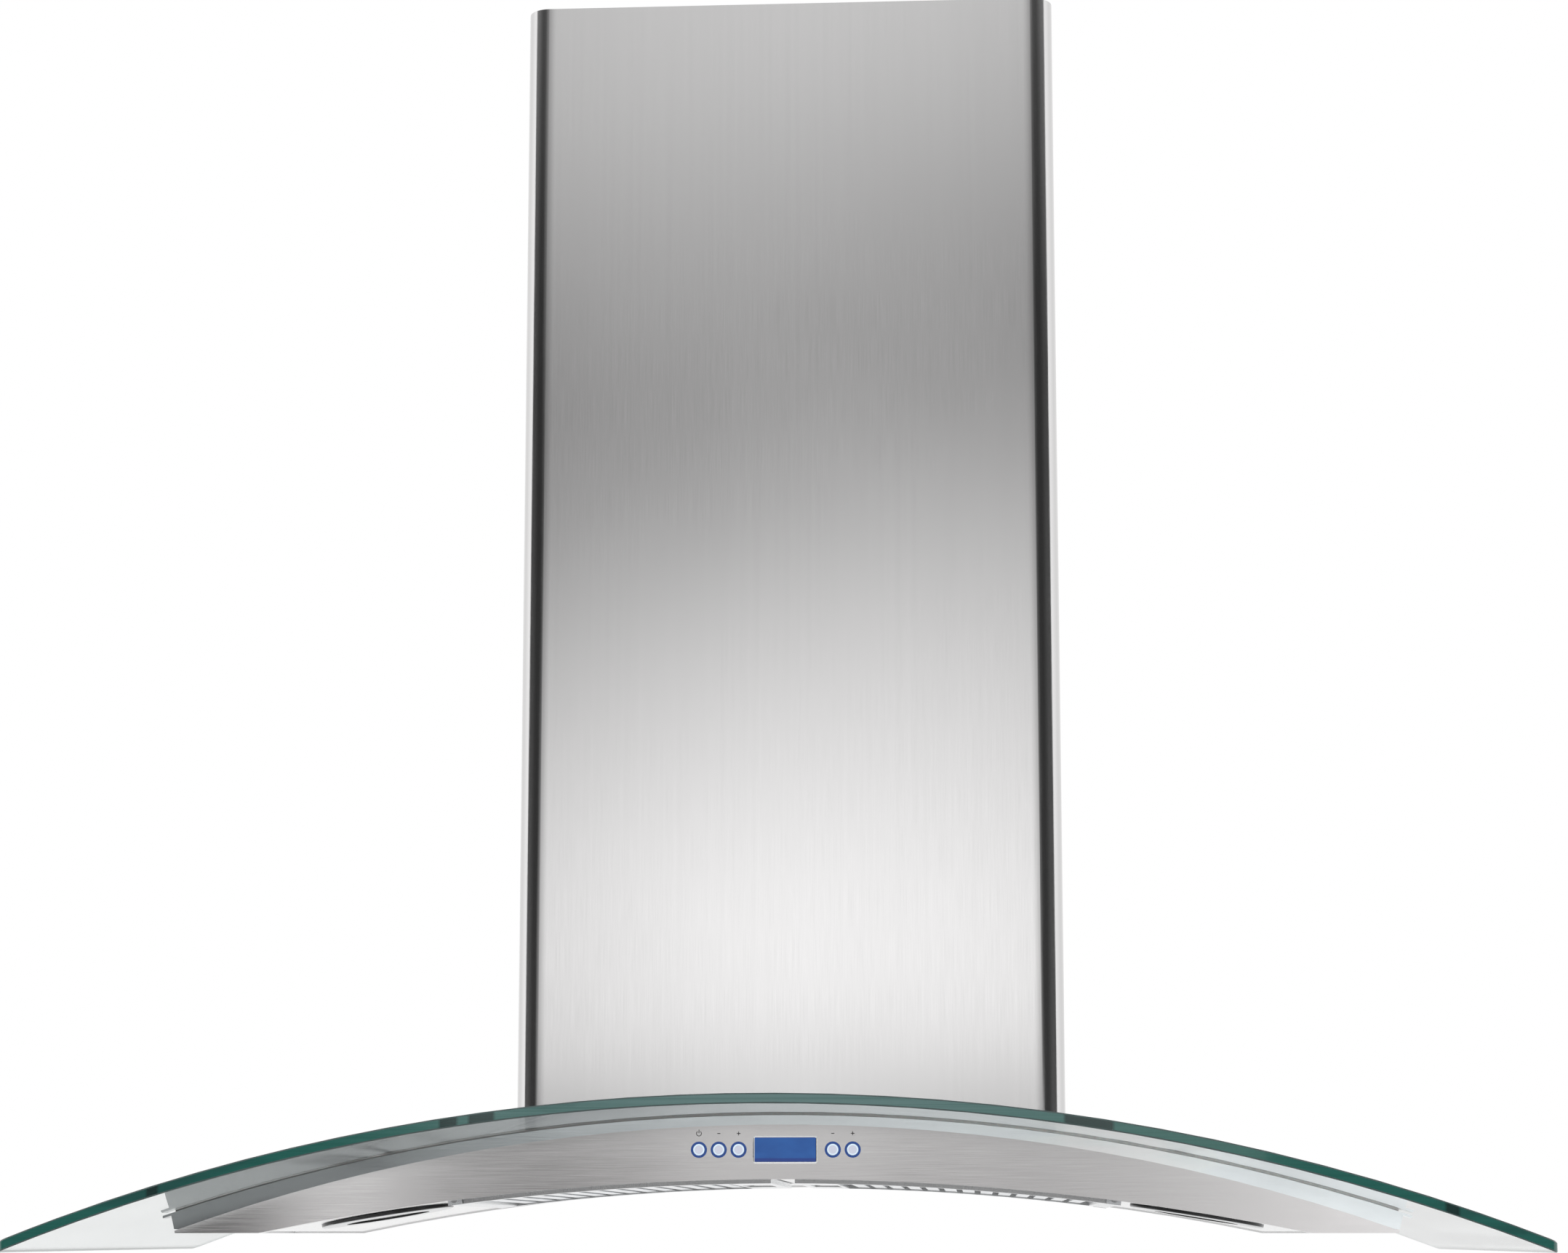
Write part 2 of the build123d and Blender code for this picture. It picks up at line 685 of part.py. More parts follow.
# ---- hinge brackets, stop bar and magnets that hold the filters ----------------------
with BuildPart() as filter_hinge_brackets:
    for side in (-1, 1):
        for reach, outward in ((filter_front, -1), (filter_rear, 1)):
            foot_plane = arch_plane(side * pin_x, reach, panel_apex + sheet,
                                    fascia_bottom_radius)
            pin_centre = foot_plane.to_local_coords(
                Vector(side * pin_x, -reach, up(pin_height)))
            tab_y = outward * (bracket_face_gap + bracket_wall / 2)
            foot_start = outward * bracket_face_gap
            foot_end = outward * (bracket_notch + bracket_foot)
            with BuildSketch(foot_plane):
                with Locations((0, (foot_start + foot_end) / 2)):
                    Rectangle(2 * bracket_half_width, abs(foot_end - foot_start))
            extrude(amount=sheet)
            with BuildSketch(foot_plane.offset(pin_centre.Z - pin_radius - sheet)):
                with Locations((0, tab_y)):
                    Rectangle(2 * bracket_half_width, bracket_wall)
            extrude(amount=pin_radius + sheet + bracket_top)
            pin_plane = Plane(origin=foot_plane.origin, x_dir=foot_plane.x_dir,
                              z_dir=(0, -1, 0))
            with BuildSketch(pin_plane):
                with Locations((pin_centre.X, pin_centre.Z)):
                    Circle(pin_radius + running_clearance)
            extrude(amount=-outward * (pin_length + bracket_notch), mode=Mode.SUBTRACT)
save(filter_hinge_brackets, "filter_hinge_brackets")

magnet_bottom = filter_top_apex + magnet_gap
bar_top = magnet_bottom + magnet_thickness
bar_foot = panel_apex + sheet
bar_flange_half = filter_inner + magnet_size + centre_strip_half / 2
magnet_x = filter_inner + centre_strip_half / 2 + magnet_size / 2

with BuildPart() as filter_stop_bar:
    with BuildSketch(Plane.XZ.offset(opening_rear)):
        with Locations((0, up(bar_foot))):
            Rectangle(2 * centre_strip_half, sheet, align=(Align.CENTER, Align.MIN))
            Rectangle(2 * sheet, bar_top - bar_foot, align=(Align.CENTER, Align.MIN))
        with Locations((0, up(bar_top))):
            Rectangle(2 * bar_flange_half, sheet, align=(Align.CENTER, Align.MIN))
    extrude(amount=opening_length)
save(filter_stop_bar, "filter_stop_bar")

with BuildPart() as filter_magnets:
    with BuildSketch(Plane.XY.offset(up(magnet_bottom))):
        with Locations(*[(side * magnet_x, -row) for side in (-1, 1) for row in magnet_rows]):
            Rectangle(magnet_size, magnet_size)
    extrude(amount=magnet_thickness)
save(filter_magnets, "filter_magnets")

# ---- downlights ----------------------------------------------------------------------
# heights here are along the lamp's own axis, from the panel's lower face
bezel_seat = seat_depth(lamp_bezel_radius, fascia_bottom_radius)
bezel_lip = lamp_lens_radius - lamp_lens_lip
lens_bottom = -bezel_seat - lamp_bezel_height / 2
neck_radius = lamp_hole_radius - lamp_neck_clearance
neck_top = sheet + lamp_neck_height
can_flange_radius = lamp_hole_radius + lamp_can_flange
can_radius = neck_radius + lamp_fit + lamp_can_wall
can_top = sheet + lamp_can_height
right_lamp = lamp_planes[1]

with BuildPart() as lamp_bezel_right:
    with BuildSketch(right_lamp.offset(-bezel_seat - lamp_bezel_height)):
        Circle(lamp_bezel_radius)
    extrude(amount=lamp_bezel_height)
    rim = lamp_bezel_right.faces().sort_by(Axis.Z)[0].edges()
    fillet(rim, radius=lamp_bezel_height / 2)
    with BuildSketch(right_lamp.offset(-bezel_seat)):
        Circle(neck_radius)
    extrude(amount=bezel_seat + neck_top)
    with BuildSketch(right_lamp.offset(lens_bottom)):
        Circle(lamp_lens_radius + lamp_fit)
    extrude(amount=lamp_hole_radius, mode=Mode.SUBTRACT)
    with BuildSketch(right_lamp):
        Circle(bezel_lip)
    extrude(amount=lamp_hole_radius, both=True, mode=Mode.SUBTRACT)
save(lamp_bezel_right, "lamp_bezel_right")

with BuildPart() as lamp_lens_right:
    with BuildSketch(right_lamp.offset(lens_bottom)):
        Circle(lamp_lens_radius)
    extrude(amount=lamp_lens_thickness)
save(lamp_lens_right, "lamp_lens_right")

with BuildPart() as lamp_can_right:
    with BuildSketch(right_lamp.offset(sheet)):
        Circle(can_flange_radius)
    extrude(amount=lamp_can_wall)
    with BuildSketch(right_lamp.offset(sheet)):
        Circle(can_radius)
    extrude(amount=lamp_can_height)
    with BuildSketch(right_lamp.offset(sheet)):
        Circle(can_radius - lamp_can_wall)
    extrude(amount=lamp_can_height - lamp_can_wall, mode=Mode.SUBTRACT)
save(lamp_can_right, "lamp_can_right")

with BuildPart() as led_module_right:
    with BuildSketch(right_lamp.offset(can_top - lamp_can_wall)):
        Circle(lamp_led_radius)
    extrude(amount=-lamp_can_wall)
    with BuildSketch(right_lamp.offset(can_top - 2 * lamp_can_wall)):
        with PolarLocations(lamp_led_radius / 2, lamp_led_count):
            Rectangle(lamp_led_chip, lamp_led_chip)
    extrude(amount=-lamp_can_wall)
save(led_module_right, "led_module_right")

for piece, name in (
    (lamp_bezel_right, "lamp_bezel_left"),
    (lamp_lens_right, "lamp_lens_left"),
    (lamp_can_right, "lamp_can_left"),
    (led_module_right, "led_module_left"),
):
    with BuildPart() as mirrored:
        mirror(piece.part, about=Plane.YZ)
    save(mirrored, name)

# ---- control panel -------------------------------------------------------------------
ring_back = fascia_back - ring_flange
button_back = ring_back - button_seat_gap - button_flange
board_front = fascia_back - board_gap
switch_face = button_back - button_travel - button_seat_gap

with BuildPart() as button_rings:
    with BuildSketch(Plane.XZ.offset(ring_back)):
        with Locations(*[(x, up(button_height)) for x in button_places]):
            Circle(ring_radius)
    extrude(amount=ring_flange + sheet + ring_proud)
    with BuildSketch(Plane.XZ.offset(ring_back)):
        with Locations(*[(x, up(button_height)) for x in button_places]):
            Circle(ring_flange_radius)
    extrude(amount=ring_flange)
    with BuildSketch(Plane.XZ.offset(ring_back)):
        with Locations(*[(x, up(button_height)) for x in button_places]):
            Circle(button_radius + ring_bore_clearance)
    extrude(amount=body_reach, mode=Mode.SUBTRACT)
save(button_rings, "button_rings")

for x, name in zip(button_places, button_names):
    with BuildPart() as button:
        with BuildSketch(Plane.XZ.offset(button_back)):
            with Locations((x, up(button_height))):
                Circle(button_flange_radius)
        extrude(amount=button_flange)
        with BuildSketch(Plane.XZ.offset(button_back)):
            with Locations((x, up(button_height))):
                Circle(button_radius)
        extrude(amount=body_reach + button_proud - button_back)
        fillet(button.faces().sort_by(Axis.Y)[0].edges(), radius=button_proud / 2)
    save(button, f"button_{name}")

with BuildPart() as display_window:
    with BuildSketch(Plane.XZ.offset(fascia_back)):
        with Locations((display_middle, up(button_height))):
            Rectangle(display_width - 2 * display_fit, display_height - 2 * display_fit)
    extrude(amount=sheet + display_proud)
    fillet(display_window.faces().sort_by(Axis.Y)[0].edges(), radius=display_proud * 0.8)
    with BuildSketch(Plane.XZ.offset(fascia_back - ring_flange)):
        with Locations((display_middle, up(button_height))):
            Rectangle(display_width + 2 * display_flange, display_height + 2 * display_flange)
    extrude(amount=ring_flange)
save(display_window, "display_window")

with BuildPart() as display_module:
    with BuildSketch(Plane.XZ.offset(board_front)):
        with Locations((display_middle, up(button_height))):
            Rectangle(display_width, display_height)
    extrude(amount=board_gap - ring_flange)
save(display_module, "display_module")

stud_spacing_x = board_length - 2 * board_edge_margin
stud_spacing_z = board_width - 2 * board_edge_margin

with BuildPart() as control_board:
    with BuildSketch(Plane.XZ.offset(board_front - board_thickness)):
        with Locations((board_middle, up(button_height))):
            Rectangle(board_length, board_width)
            with GridLocations(stud_spacing_x, stud_spacing_z, 2, 2):
                Circle(stud_radius + running_clearance, mode=Mode.SUBTRACT)
    extrude(amount=board_thickness)
    with BuildSketch(Plane.XZ.offset(board_front)):
        with Locations(*[(x, up(button_height)) for x in button_places]):
            Rectangle(switch_size, switch_size)
    extrude(amount=switch_face - board_front)
save(control_board, "control_board")

with BuildPart() as board_studs:
    with BuildSketch(Plane.XZ.offset(board_front - 2 * board_thickness)):
        with Locations((board_middle, up(button_height))):
            with GridLocations(stud_spacing_x, stud_spacing_z, 2, 2):
                Circle(stud_radius)
    extrude(amount=board_gap + 2 * board_thickness)
    with BuildSketch(Plane.XZ.offset(board_front)):
        with Locations((board_middle, up(button_height))):
            with GridLocations(stud_spacing_x, stud_spacing_z, 2, 2):
                Circle(stud_collar)
    extrude(amount=board_gap)
save(board_studs, "board_studs")

# ---- chimney covers ------------------------------------------------------------------
def cover_section(inset, level):
    """Plan of a cover: rounded front corners and hems turned in along the wall."""
    half_width = chimney_half_width - inset
    reach = chimney_reach - inset
    with BuildSketch(Plane.XY.offset(up(level))) as section:
        with Locations((0, -inset)):
            Rectangle(2 * half_width, reach - inset, align=(Align.CENTER, Align.MAX))
        front_corners = section.vertices().group_by(Axis.Y)[0]
        fillet(front_corners, radius=chimney_corner - inset)
        offset(amount=-chimney_sheet, mode=Mode.SUBTRACT)
        with Locations((0, -inset)):
            Rectangle(2 * (half_width - chimney_hem), 4 * chimney_sheet, mode=Mode.SUBTRACT)
    return section.sketch


with BuildPart() as lower_chimney_cover:
    extrude(cover_section(inset=0, level=body_corner_height),
            amount=chimney_top - body_corner_height)
    extrude(under_arch_section(glass_apex, glass_radius), amount=glass_corner_reach,
            mode=Mode.SUBTRACT)
save(lower_chimney_cover, "lower_chimney_cover")

upper_inset = chimney_sheet + cover_gap
upper_cover_top = chimney_top - upper_cover_below_top

with BuildPart() as upper_chimney_cover:
    extrude(cover_section(inset=upper_inset, level=upper_cover_bottom),
            amount=upper_cover_top - upper_cover_bottom)
save(upper_chimney_cover, "upper_chimney_cover")

# ---- blower chassis behind the chimney cover -----------------------------------------
chassis_hole_radius = collar_radius - collar_wall
wall_screw_places = GridLocations(wall_screw_spacing_x, wall_screw_spacing_z, 2, 2)

with BuildPart() as chassis_cavity:
    with BuildSketch(Plane.XY.offset(up(body_corner_height))) as inner_plan:
        with Locations((0, -chassis_sheet)):
            Rectangle(2 * (chassis_half_width - chassis_sheet), chassis_reach - 2 * chassis_sheet,
                      align=(Align.CENTER, Align.MAX))
        fillet(inner_plan.vertices().group_by(Axis.Y)[0], radius=chassis_corner - chassis_sheet)
    extrude(amount=chassis_top - chassis_sheet - body_corner_height)
    extrude(under_arch_section(chassis_foot_apex, chassis_foot_radius),
            amount=glass_corner_reach, mode=Mode.SUBTRACT)

with BuildPart() as blower_chassis:
    with BuildSketch(Plane.XY.offset(up(body_corner_height))) as outer_plan:
        Rectangle(2 * chassis_half_width, chassis_reach, align=(Align.CENTER, Align.MAX))
        fillet(outer_plan.vertices().group_by(Axis.Y)[0], radius=chassis_corner)
    extrude(amount=chassis_top - body_corner_height)
    extrude(under_arch_section(top_skin_apex, top_skin_radius), amount=glass_corner_reach,
            mode=Mode.SUBTRACT)
    add(chassis_cavity.part, mode=Mode.SUBTRACT)
    with BuildSketch(Plane.XY.offset(up(body_corner_height))):
        with Locations((0, -chassis_reach / 2)):
            Rectangle(2 * (chassis_half_width - skin_opening_inset),
                      chassis_reach - 2 * skin_opening_inset)
    extrude(amount=glass_apex, mode=Mode.SUBTRACT)
    with BuildSketch(Plane.XY.offset(up(chassis_top))):
        with Locations((0, collar_y)):
            Circle(chassis_hole_radius)
            with PolarLocations(collar_screw_circle, 4, start_angle=45):
                Circle(fixing_screw_radius)
    extrude(amount=-2 * chassis_sheet, mode=Mode.SUBTRACT)
    with BuildSketch(*foot_screw_planes):
        Circle(fixing_screw_radius)
    extrude(amount=-2 * chassis_sheet, mode=Mode.SUBTRACT)
    with BuildSketch(Plane.XZ):
        with wall_screw_places:
            Circle(wall_screw_radius)
    extrude(amount=2 * chassis_sheet, mode=Mode.SUBTRACT)
save(blower_chassis, "blower_chassis")

support_row = 125.0            # distance from the wall to the cover supports
support_width = 24.0
support_leg = 30.0
support_top = upper_cover_bottom - cover_rest_gap
support_reach = chimney_half_width - chimney_sheet - cover_gap / 2

with BuildPart() as cover_supports:
    with BuildSketch(Plane.XZ.offset(support_row - support_width / 2)):
        for side in (-1, 1):
            with Locations((side * (chassis_half_width + sheet / 2), up(support_top))):
                Rectangle(sheet, support_leg, align=(Align.CENTER, Align.MAX))
            with Locations((side * (chassis_half_width + support_reach) / 2, up(support_top))):
                Rectangle(support_reach - chassis_half_width, sheet,
                          align=(Align.CENTER, Align.MAX))
    extrude(amount=support_width)
save(cover_supports, "cover_supports")

# ---- scroll housing ------------------------------------------------------------------
throat_front = wheel_y - volute_step / 2 - volute_first_radius - 2 * volute_step
throat_rear = wheel_y + volute_step / 2
throat_top = wheel_height + volute_throat_top


def volute_section(grow):
    """Section of the scroll in the wheel's plane: three arcs that step outward to the throat."""
    centre_y = wheel_y + volute_step / 2
    centre_z = up(wheel_height) - volute_step / 2
    with BuildSketch(Plane.YZ) as section:
        with BuildLine():
            first = CenterArc((centre_y, centre_z), volute_first_radius, 90, -90)
            CenterArc((centre_y - volute_step, centre_z), volute_first_radius + volute_step,
                      0, -90)
            last = CenterArc((centre_y - volute_step, centre_z + volute_step),
                             volute_first_radius + 2 * volute_step, -90, -90)
            Polyline(last @ 1, (throat_front, up(throat_top)), (throat_rear, up(throat_top)),
                     first @ 0)
        make_face()
        if grow > 0:
            offset(amount=grow, kind=Kind.INTERSECTION)
    return section.sketch_local


with BuildPart() as scroll_wall:
    with BuildSketch(Plane.YZ.offset(-volute_half_width)):
        add(volute_section(volute_wall))
        add(volute_section(0), mode=Mode.SUBTRACT)
        with Locations(((throat_front + throat_rear) / 2, up(throat_top))):
            Rectangle(throat_rear - throat_front + 4 * volute_wall, 2 * volute_wall,
                      align=(Align.CENTER, Align.MIN), mode=Mode.SUBTRACT)
    extrude(amount=2 * volute_half_width)
save(scroll_wall, "scroll_wall")

bracket_screw_circle = inlet_radius + bracket_arm_width / 2 + bracket_screw_margin

for side, name in ((-1, "scroll_plate_left"), (1, "scroll_plate_right")):
    with BuildPart() as plate:
        with BuildSketch(Plane.YZ.offset(side * volute_half_width)):
            add(volute_section(volute_wall))
            with Locations(((throat_front + throat_rear) / 2, up(throat_top))):
                Rectangle(throat_rear - throat_front + 4 * volute_wall, 2 * volute_wall,
                          align=(Align.CENTER, Align.MIN), mode=Mode.SUBTRACT)
            with Locations((wheel_y, up(wheel_height))):
                Circle(inlet_radius, mode=Mode.SUBTRACT)
                with PolarLocations(bracket_screw_circle, 3):
                    Circle(fixing_screw_radius, mode=Mode.SUBTRACT)
        extrude(amount=side * volute_wall)
    save(plate, name)

# ---- blower wheel, shaft and motor ---------------------------------------------------
def wheel_plane(x):
    """Plane across the wheel's axle."""
    return Plane(origin=(x, wheel_y, up(wheel_height)), x_dir=(0, 1, 0), z_dir=(1, 0, 0))


with BuildSketch() as blade:
    tip = (wheel_radius * cos(radians(blade_lead)), wheel_radius * sin(radians(blade_lead)))
    root = (wheel_inner_radius, 0)
    belly = ((tip[0] + root[0] + blade_belly) / 2, (tip[1] + root[1]) / 2 - blade_belly)
    with BuildLine():
        front = ThreePointArc(root, belly, tip)
        back = ThreePointArc((root[0], root[1] + blade_wall),
                             (belly[0] - blade_wall / 2, belly[1] + blade_wall),
                             (tip[0] - blade_wall, tip[1] + blade_wall / 3))
        Line(front @ 0, back @ 0)
        Line(front @ 1, back @ 1)
    make_face()

with BuildPart() as blower_wheel:
    with BuildSketch(wheel_plane(-wheel_half_width)):
        with PolarLocations(0, wheel_blades):
            add(blade.sketch)
    extrude(amount=2 * wheel_half_width)
    for x in (-wheel_half_width, wheel_half_width - wheel_ring):
        with BuildSketch(wheel_plane(x)):
            Circle(wheel_radius + wheel_ring_lip)
            Circle(wheel_radius - wheel_ring, mode=Mode.SUBTRACT)
        extrude(amount=wheel_ring)
    with BuildSketch(wheel_plane(-hub_disc / 2)):
        Circle(wheel_radius - blade_wall)
    extrude(amount=hub_disc)
    with BuildSketch(wheel_plane(-hub_length / 2)):
        Circle(hub_radius)
    extrude(amount=hub_length)
    with BuildSketch(wheel_plane(-hub_length / 2)):
        Circle(shaft_radius)
    extrude(amount=hub_length, mode=Mode.SUBTRACT)
save(blower_wheel, "blower_wheel")

shaft_start = -hub_length / 2 - nut_thickness - shaft_spare
shaft_end = motor_start + motor_length - shaft_spare

with BuildPart() as motor_shaft:
    with BuildSketch(wheel_plane(shaft_start)):
        Circle(shaft_radius)
    extrude(amount=shaft_end - shaft_start)
save(motor_shaft, "motor_shaft")

with BuildPart() as wheel_nut:
    with BuildSketch(wheel_plane(-hub_length / 2)):
        RegularPolygon(nut_radius, side_count=6)
        Circle(shaft_radius, mode=Mode.SUBTRACT)
    extrude(amount=-nut_thickness)
save(wheel_nut, "wheel_nut")

with BuildPart() as motor_body:
    with BuildSketch(wheel_plane(motor_start)):
        Circle(motor_radius)
    extrude(amount=motor_length)
    fillet(motor_body.edges().filter_by(GeomType.CIRCLE), radius=motor_end_radius)
    with BuildSketch(wheel_plane(motor_start)):
        Circle(bearing_radius)
    extrude(amount=bearing_width, mode=Mode.SUBTRACT)
    with BuildSketch(wheel_plane(motor_start + motor_length)):
        Circle(bearing_radius)
    extrude(amount=-bearing_width, mode=Mode.SUBTRACT)
    with BuildSketch(wheel_plane(motor_start)):
        Circle(shaft_radius + shaft_clearance)
    extrude(amount=motor_length, mode=Mode.SUBTRACT)
save(motor_body, "motor_body")

with BuildPart() as motor_bearings:
    for x in (motor_start, motor_start + motor_length - bearing_width):
        with BuildSketch(wheel_plane(x)):
            Circle(bearing_radius)
            Circle(shaft_radius + running_clearance / 2, mode=Mode.SUBTRACT)
        extrude(amount=bearing_width)
save(motor_bearings, "motor_bearings")

bracket_inner = volute_half_width + volute_wall

with BuildPart() as motor_bracket:
    with BuildSketch(wheel_plane(bracket_inner)):
        Circle(motor_radius + bracket_ring_width)
        with PolarLocations(0, 3):
            Rectangle(bracket_screw_circle + bracket_arm_width / 2, bracket_arm_width,
                      align=(Align.MIN, Align.CENTER))
        Circle(motor_radius, mode=Mode.SUBTRACT)
        with PolarLocations(bracket_screw_circle, 3):
            Circle(fixing_screw_radius, mode=Mode.SUBTRACT)
    extrude(amount=bracket_thickness)
save(motor_bracket, "motor_bracket")

# ---- outlet: transition duct, collar and back-draught flaps --------------------------
duct_top = chassis_top - chassis_sheet
throat_middle = (throat_front + throat_rear) / 2
throat_depth = throat_rear - throat_front

with BuildPart() as outlet_duct:
    with BuildSketch(Plane.XY.offset(up(throat_top))):
        with Locations((0, throat_middle)):
            RectangleRounded(2 * (volute_half_width + volute_wall),
                             throat_depth + 2 * volute_wall, radius=2 * volute_wall)
    with BuildSketch(Plane.XY.offset(up(duct_top))):
        with Locations((0, collar_y)):
            Circle(collar_radius)
    loft()
    with BuildSketch(Plane.XY.offset(up(throat_top))):
        with Locations((0, throat_middle)):
            RectangleRounded(2 * volute_half_width, throat_depth, radius=volute_wall)
    with BuildSketch(Plane.XY.offset(up(duct_top))):
        with Locations((0, collar_y)):
            Circle(chassis_hole_radius)
    loft(mode=Mode.SUBTRACT)
    with BuildSketch(Plane.XY.offset(up(duct_top))):
        with Locations((0, collar_y)):
            Circle(collar_flange_radius)
            Circle(chassis_hole_radius, mode=Mode.SUBTRACT)
    extrude(amount=-volute_wall)
    with BuildSketch(Plane.XY.offset(up(duct_top))):
        with Locations((0, collar_y)):
            with PolarLocations(collar_screw_circle, 4, start_angle=45):
                Circle(fixing_screw_radius)
    extrude(amount=-2 * volute_wall, mode=Mode.SUBTRACT)
save(outlet_duct, "outlet_duct")

damper_axis = chassis_top + collar_flange + damper_height
collar_bore = collar_radius - collar_wall
damper_radius = collar_bore - damper_edge_gap
seat_drop = damper_thickness / 2 + damper_rest_gap
hub_outer = damper_pin_radius + damper_hub_wall
collar_plane = Plane.XY.offset(up(chassis_top))

with BuildPart() as duct_collar:
    with BuildSketch(collar_plane):
        with Locations((0, collar_y)):
            Circle(collar_flange_radius)
            with PolarLocations(collar_screw_circle, 4, start_angle=45):
                Circle(fixing_screw_radius, mode=Mode.SUBTRACT)
    extrude(amount=collar_flange)
    with BuildSketch(collar_plane):
        with Locations((0, collar_y)):
            Circle(collar_radius)
    extrude(amount=collar_length)
    with BuildSketch(collar_plane.offset(collar_flange)):
        with Locations((0, collar_y)):
            Circle(collar_radius + collar_root_height * tan(radians(collar_root_draft)))
    extrude(amount=collar_root_height, taper=collar_root_draft)
    with BuildSketch(collar_plane):
        with Locations((0, collar_y)):
            Circle(collar_bore)
    extrude(amount=collar_length, mode=Mode.SUBTRACT)
    with BuildSketch(Plane.XY.offset(up(damper_axis - seat_drop))):
        with Locations((0, collar_y)):
            Circle(collar_bore)
            Circle(collar_bore - seat_ring_width, mode=Mode.SUBTRACT)
            Rectangle(2 * collar_bore - 2 * collar_wall, damper_bar_width)
    extrude(amount=-damper_bar_height)
    with BuildSketch(Plane.YZ.offset(-collar_radius)):
        with Locations(*[(collar_y + side * damper_offset, up(damper_axis))
                         for side in (-1, 1)]):
            Circle(damper_pin_radius + running_clearance)
    extrude(amount=2 * collar_radius, mode=Mode.SUBTRACT)
save(duct_collar, "duct_collar")

hub_end = (sqrt((collar_bore - seat_ring_width) ** 2 - (damper_offset + hub_outer) ** 2)
           - damper_edge_gap)
pin_end = sqrt(collar_radius ** 2 - (damper_offset + damper_pin_radius) ** 2)

for side, name in ((-1, "damper_flap_front"), (1, "damper_flap_rear")):
    with BuildPart() as flap:
        with BuildSketch(Plane.XY.offset(up(damper_axis - damper_thickness / 2))):
            with Locations((0, collar_y)):
                Circle(damper_radius)
            with Locations((0, collar_y + side * damper_offset)):
                Rectangle(2 * damper_radius, 2 * damper_radius, mode=Mode.SUBTRACT,
                          align=(Align.CENTER, Align.MAX if side > 0 else Align.MIN))
        extrude(amount=damper_thickness)
        with BuildSketch(Plane.YZ.offset(-hub_end)):
            with Locations((collar_y + side * damper_offset, up(damper_axis))):
                Circle(hub_outer)
        extrude(amount=2 * hub_end)
        with BuildSketch(Plane.YZ.offset(-pin_end)):
            with Locations((collar_y + side * damper_offset, up(damper_axis))):
                Circle(damper_pin_radius)
        extrude(amount=2 * pin_end)
    save(flap, name)

# ---- electrical pieces on top of the chassis -----------------------------------------
junction_plane = Plane(origin=(junction_x, junction_y, up(chassis_top)))
cover_screw_spacing = (junction_size[0] - 2 * cover_screw_inset,
                       junction_size[1] - 2 * cover_screw_inset)
boss_radius = cover_screw_inset - junction_wall / 2

with BuildPart() as junction_box:
    with BuildSketch(junction_plane):
        RectangleRounded(junction_size[0], junction_size[1], radius=junction_corner)
    extrude(amount=junction_size[2])
    with BuildSketch(junction_plane.offset(junction_wall)):
        RectangleRounded(junction_size[0] - 2 * junction_wall,
                         junction_size[1] - 2 * junction_wall,
                         radius=junction_corner - junction_wall)
    extrude(amount=junction_size[2], mode=Mode.SUBTRACT)
    with BuildSketch(junction_plane):
        with GridLocations(*cover_screw_spacing, 2, 2):
            Circle(boss_radius)
    extrude(amount=junction_size[2])
    with BuildSketch(junction_plane.offset(junction_size[2])):
        with GridLocations(*cover_screw_spacing, 2, 2):
            Circle(fixing_screw_radius)
    extrude(amount=-fixing_screw_length, mode=Mode.SUBTRACT)
save(junction_box, "junction_box")

with BuildPart() as junction_cover:
    with BuildSketch(junction_plane.offset(junction_size[2])):
        RectangleRounded(junction_size[0], junction_size[1], radius=junction_corner)
        with GridLocations(*cover_screw_spacing, 2, 2):
            Circle(fixing_screw_radius, mode=Mode.SUBTRACT)
        Circle(gland_radius - junction_wall, mode=Mode.SUBTRACT)
    extrude(amount=junction_wall)
save(junction_cover, "junction_cover")

gland_plane = junction_plane.offset(junction_size[2] + junction_wall)

with BuildPart() as cable_gland:
    with BuildSketch(gland_plane):
        RegularPolygon(gland_radius, side_count=6)
    extrude(amount=gland_hexagon_height)
    with BuildSketch(gland_plane.offset(gland_hexagon_height)):
        Circle(gland_neck_radius)
    extrude(amount=gland_length - gland_hexagon_height)
    with BuildSketch(gland_plane):
        Circle(gland_radius - junction_wall)
    extrude(amount=-junction_wall)
    with BuildSketch(gland_plane):
        Circle(gland_bore)
    extrude(amount=gland_length + junction_wall, both=True, mode=Mode.SUBTRACT)
save(cable_gland, "cable_gland")

with BuildPart() as lamp_driver:
    with BuildSketch(Plane(origin=(driver_x, driver_y, up(chassis_top)))):
        RectangleRounded(driver_size[0], driver_size[1], radius=junction_corner)
    extrude(amount=driver_size[2])
    fillet(lamp_driver.faces().sort_by(Axis.Z)[-1].edges(), radius=case_edge_radius)
save(lamp_driver, "lamp_driver")

capacitor_y = driver_y - driver_size[1] / 2 - capacitor_length / 2 - capacitor_radius
with BuildPart() as run_capacitor:
    with BuildSketch(Plane.XZ.offset(-capacitor_y - capacitor_length / 2)):
        with Locations((driver_x, up(chassis_top + capacitor_radius))):
            Circle(capacitor_radius)
    extrude(amount=capacitor_length)
    fillet(run_capacitor.edges().filter_by(GeomType.CIRCLE), radius=case_edge_radius)
save(run_capacitor, "run_capacitor")

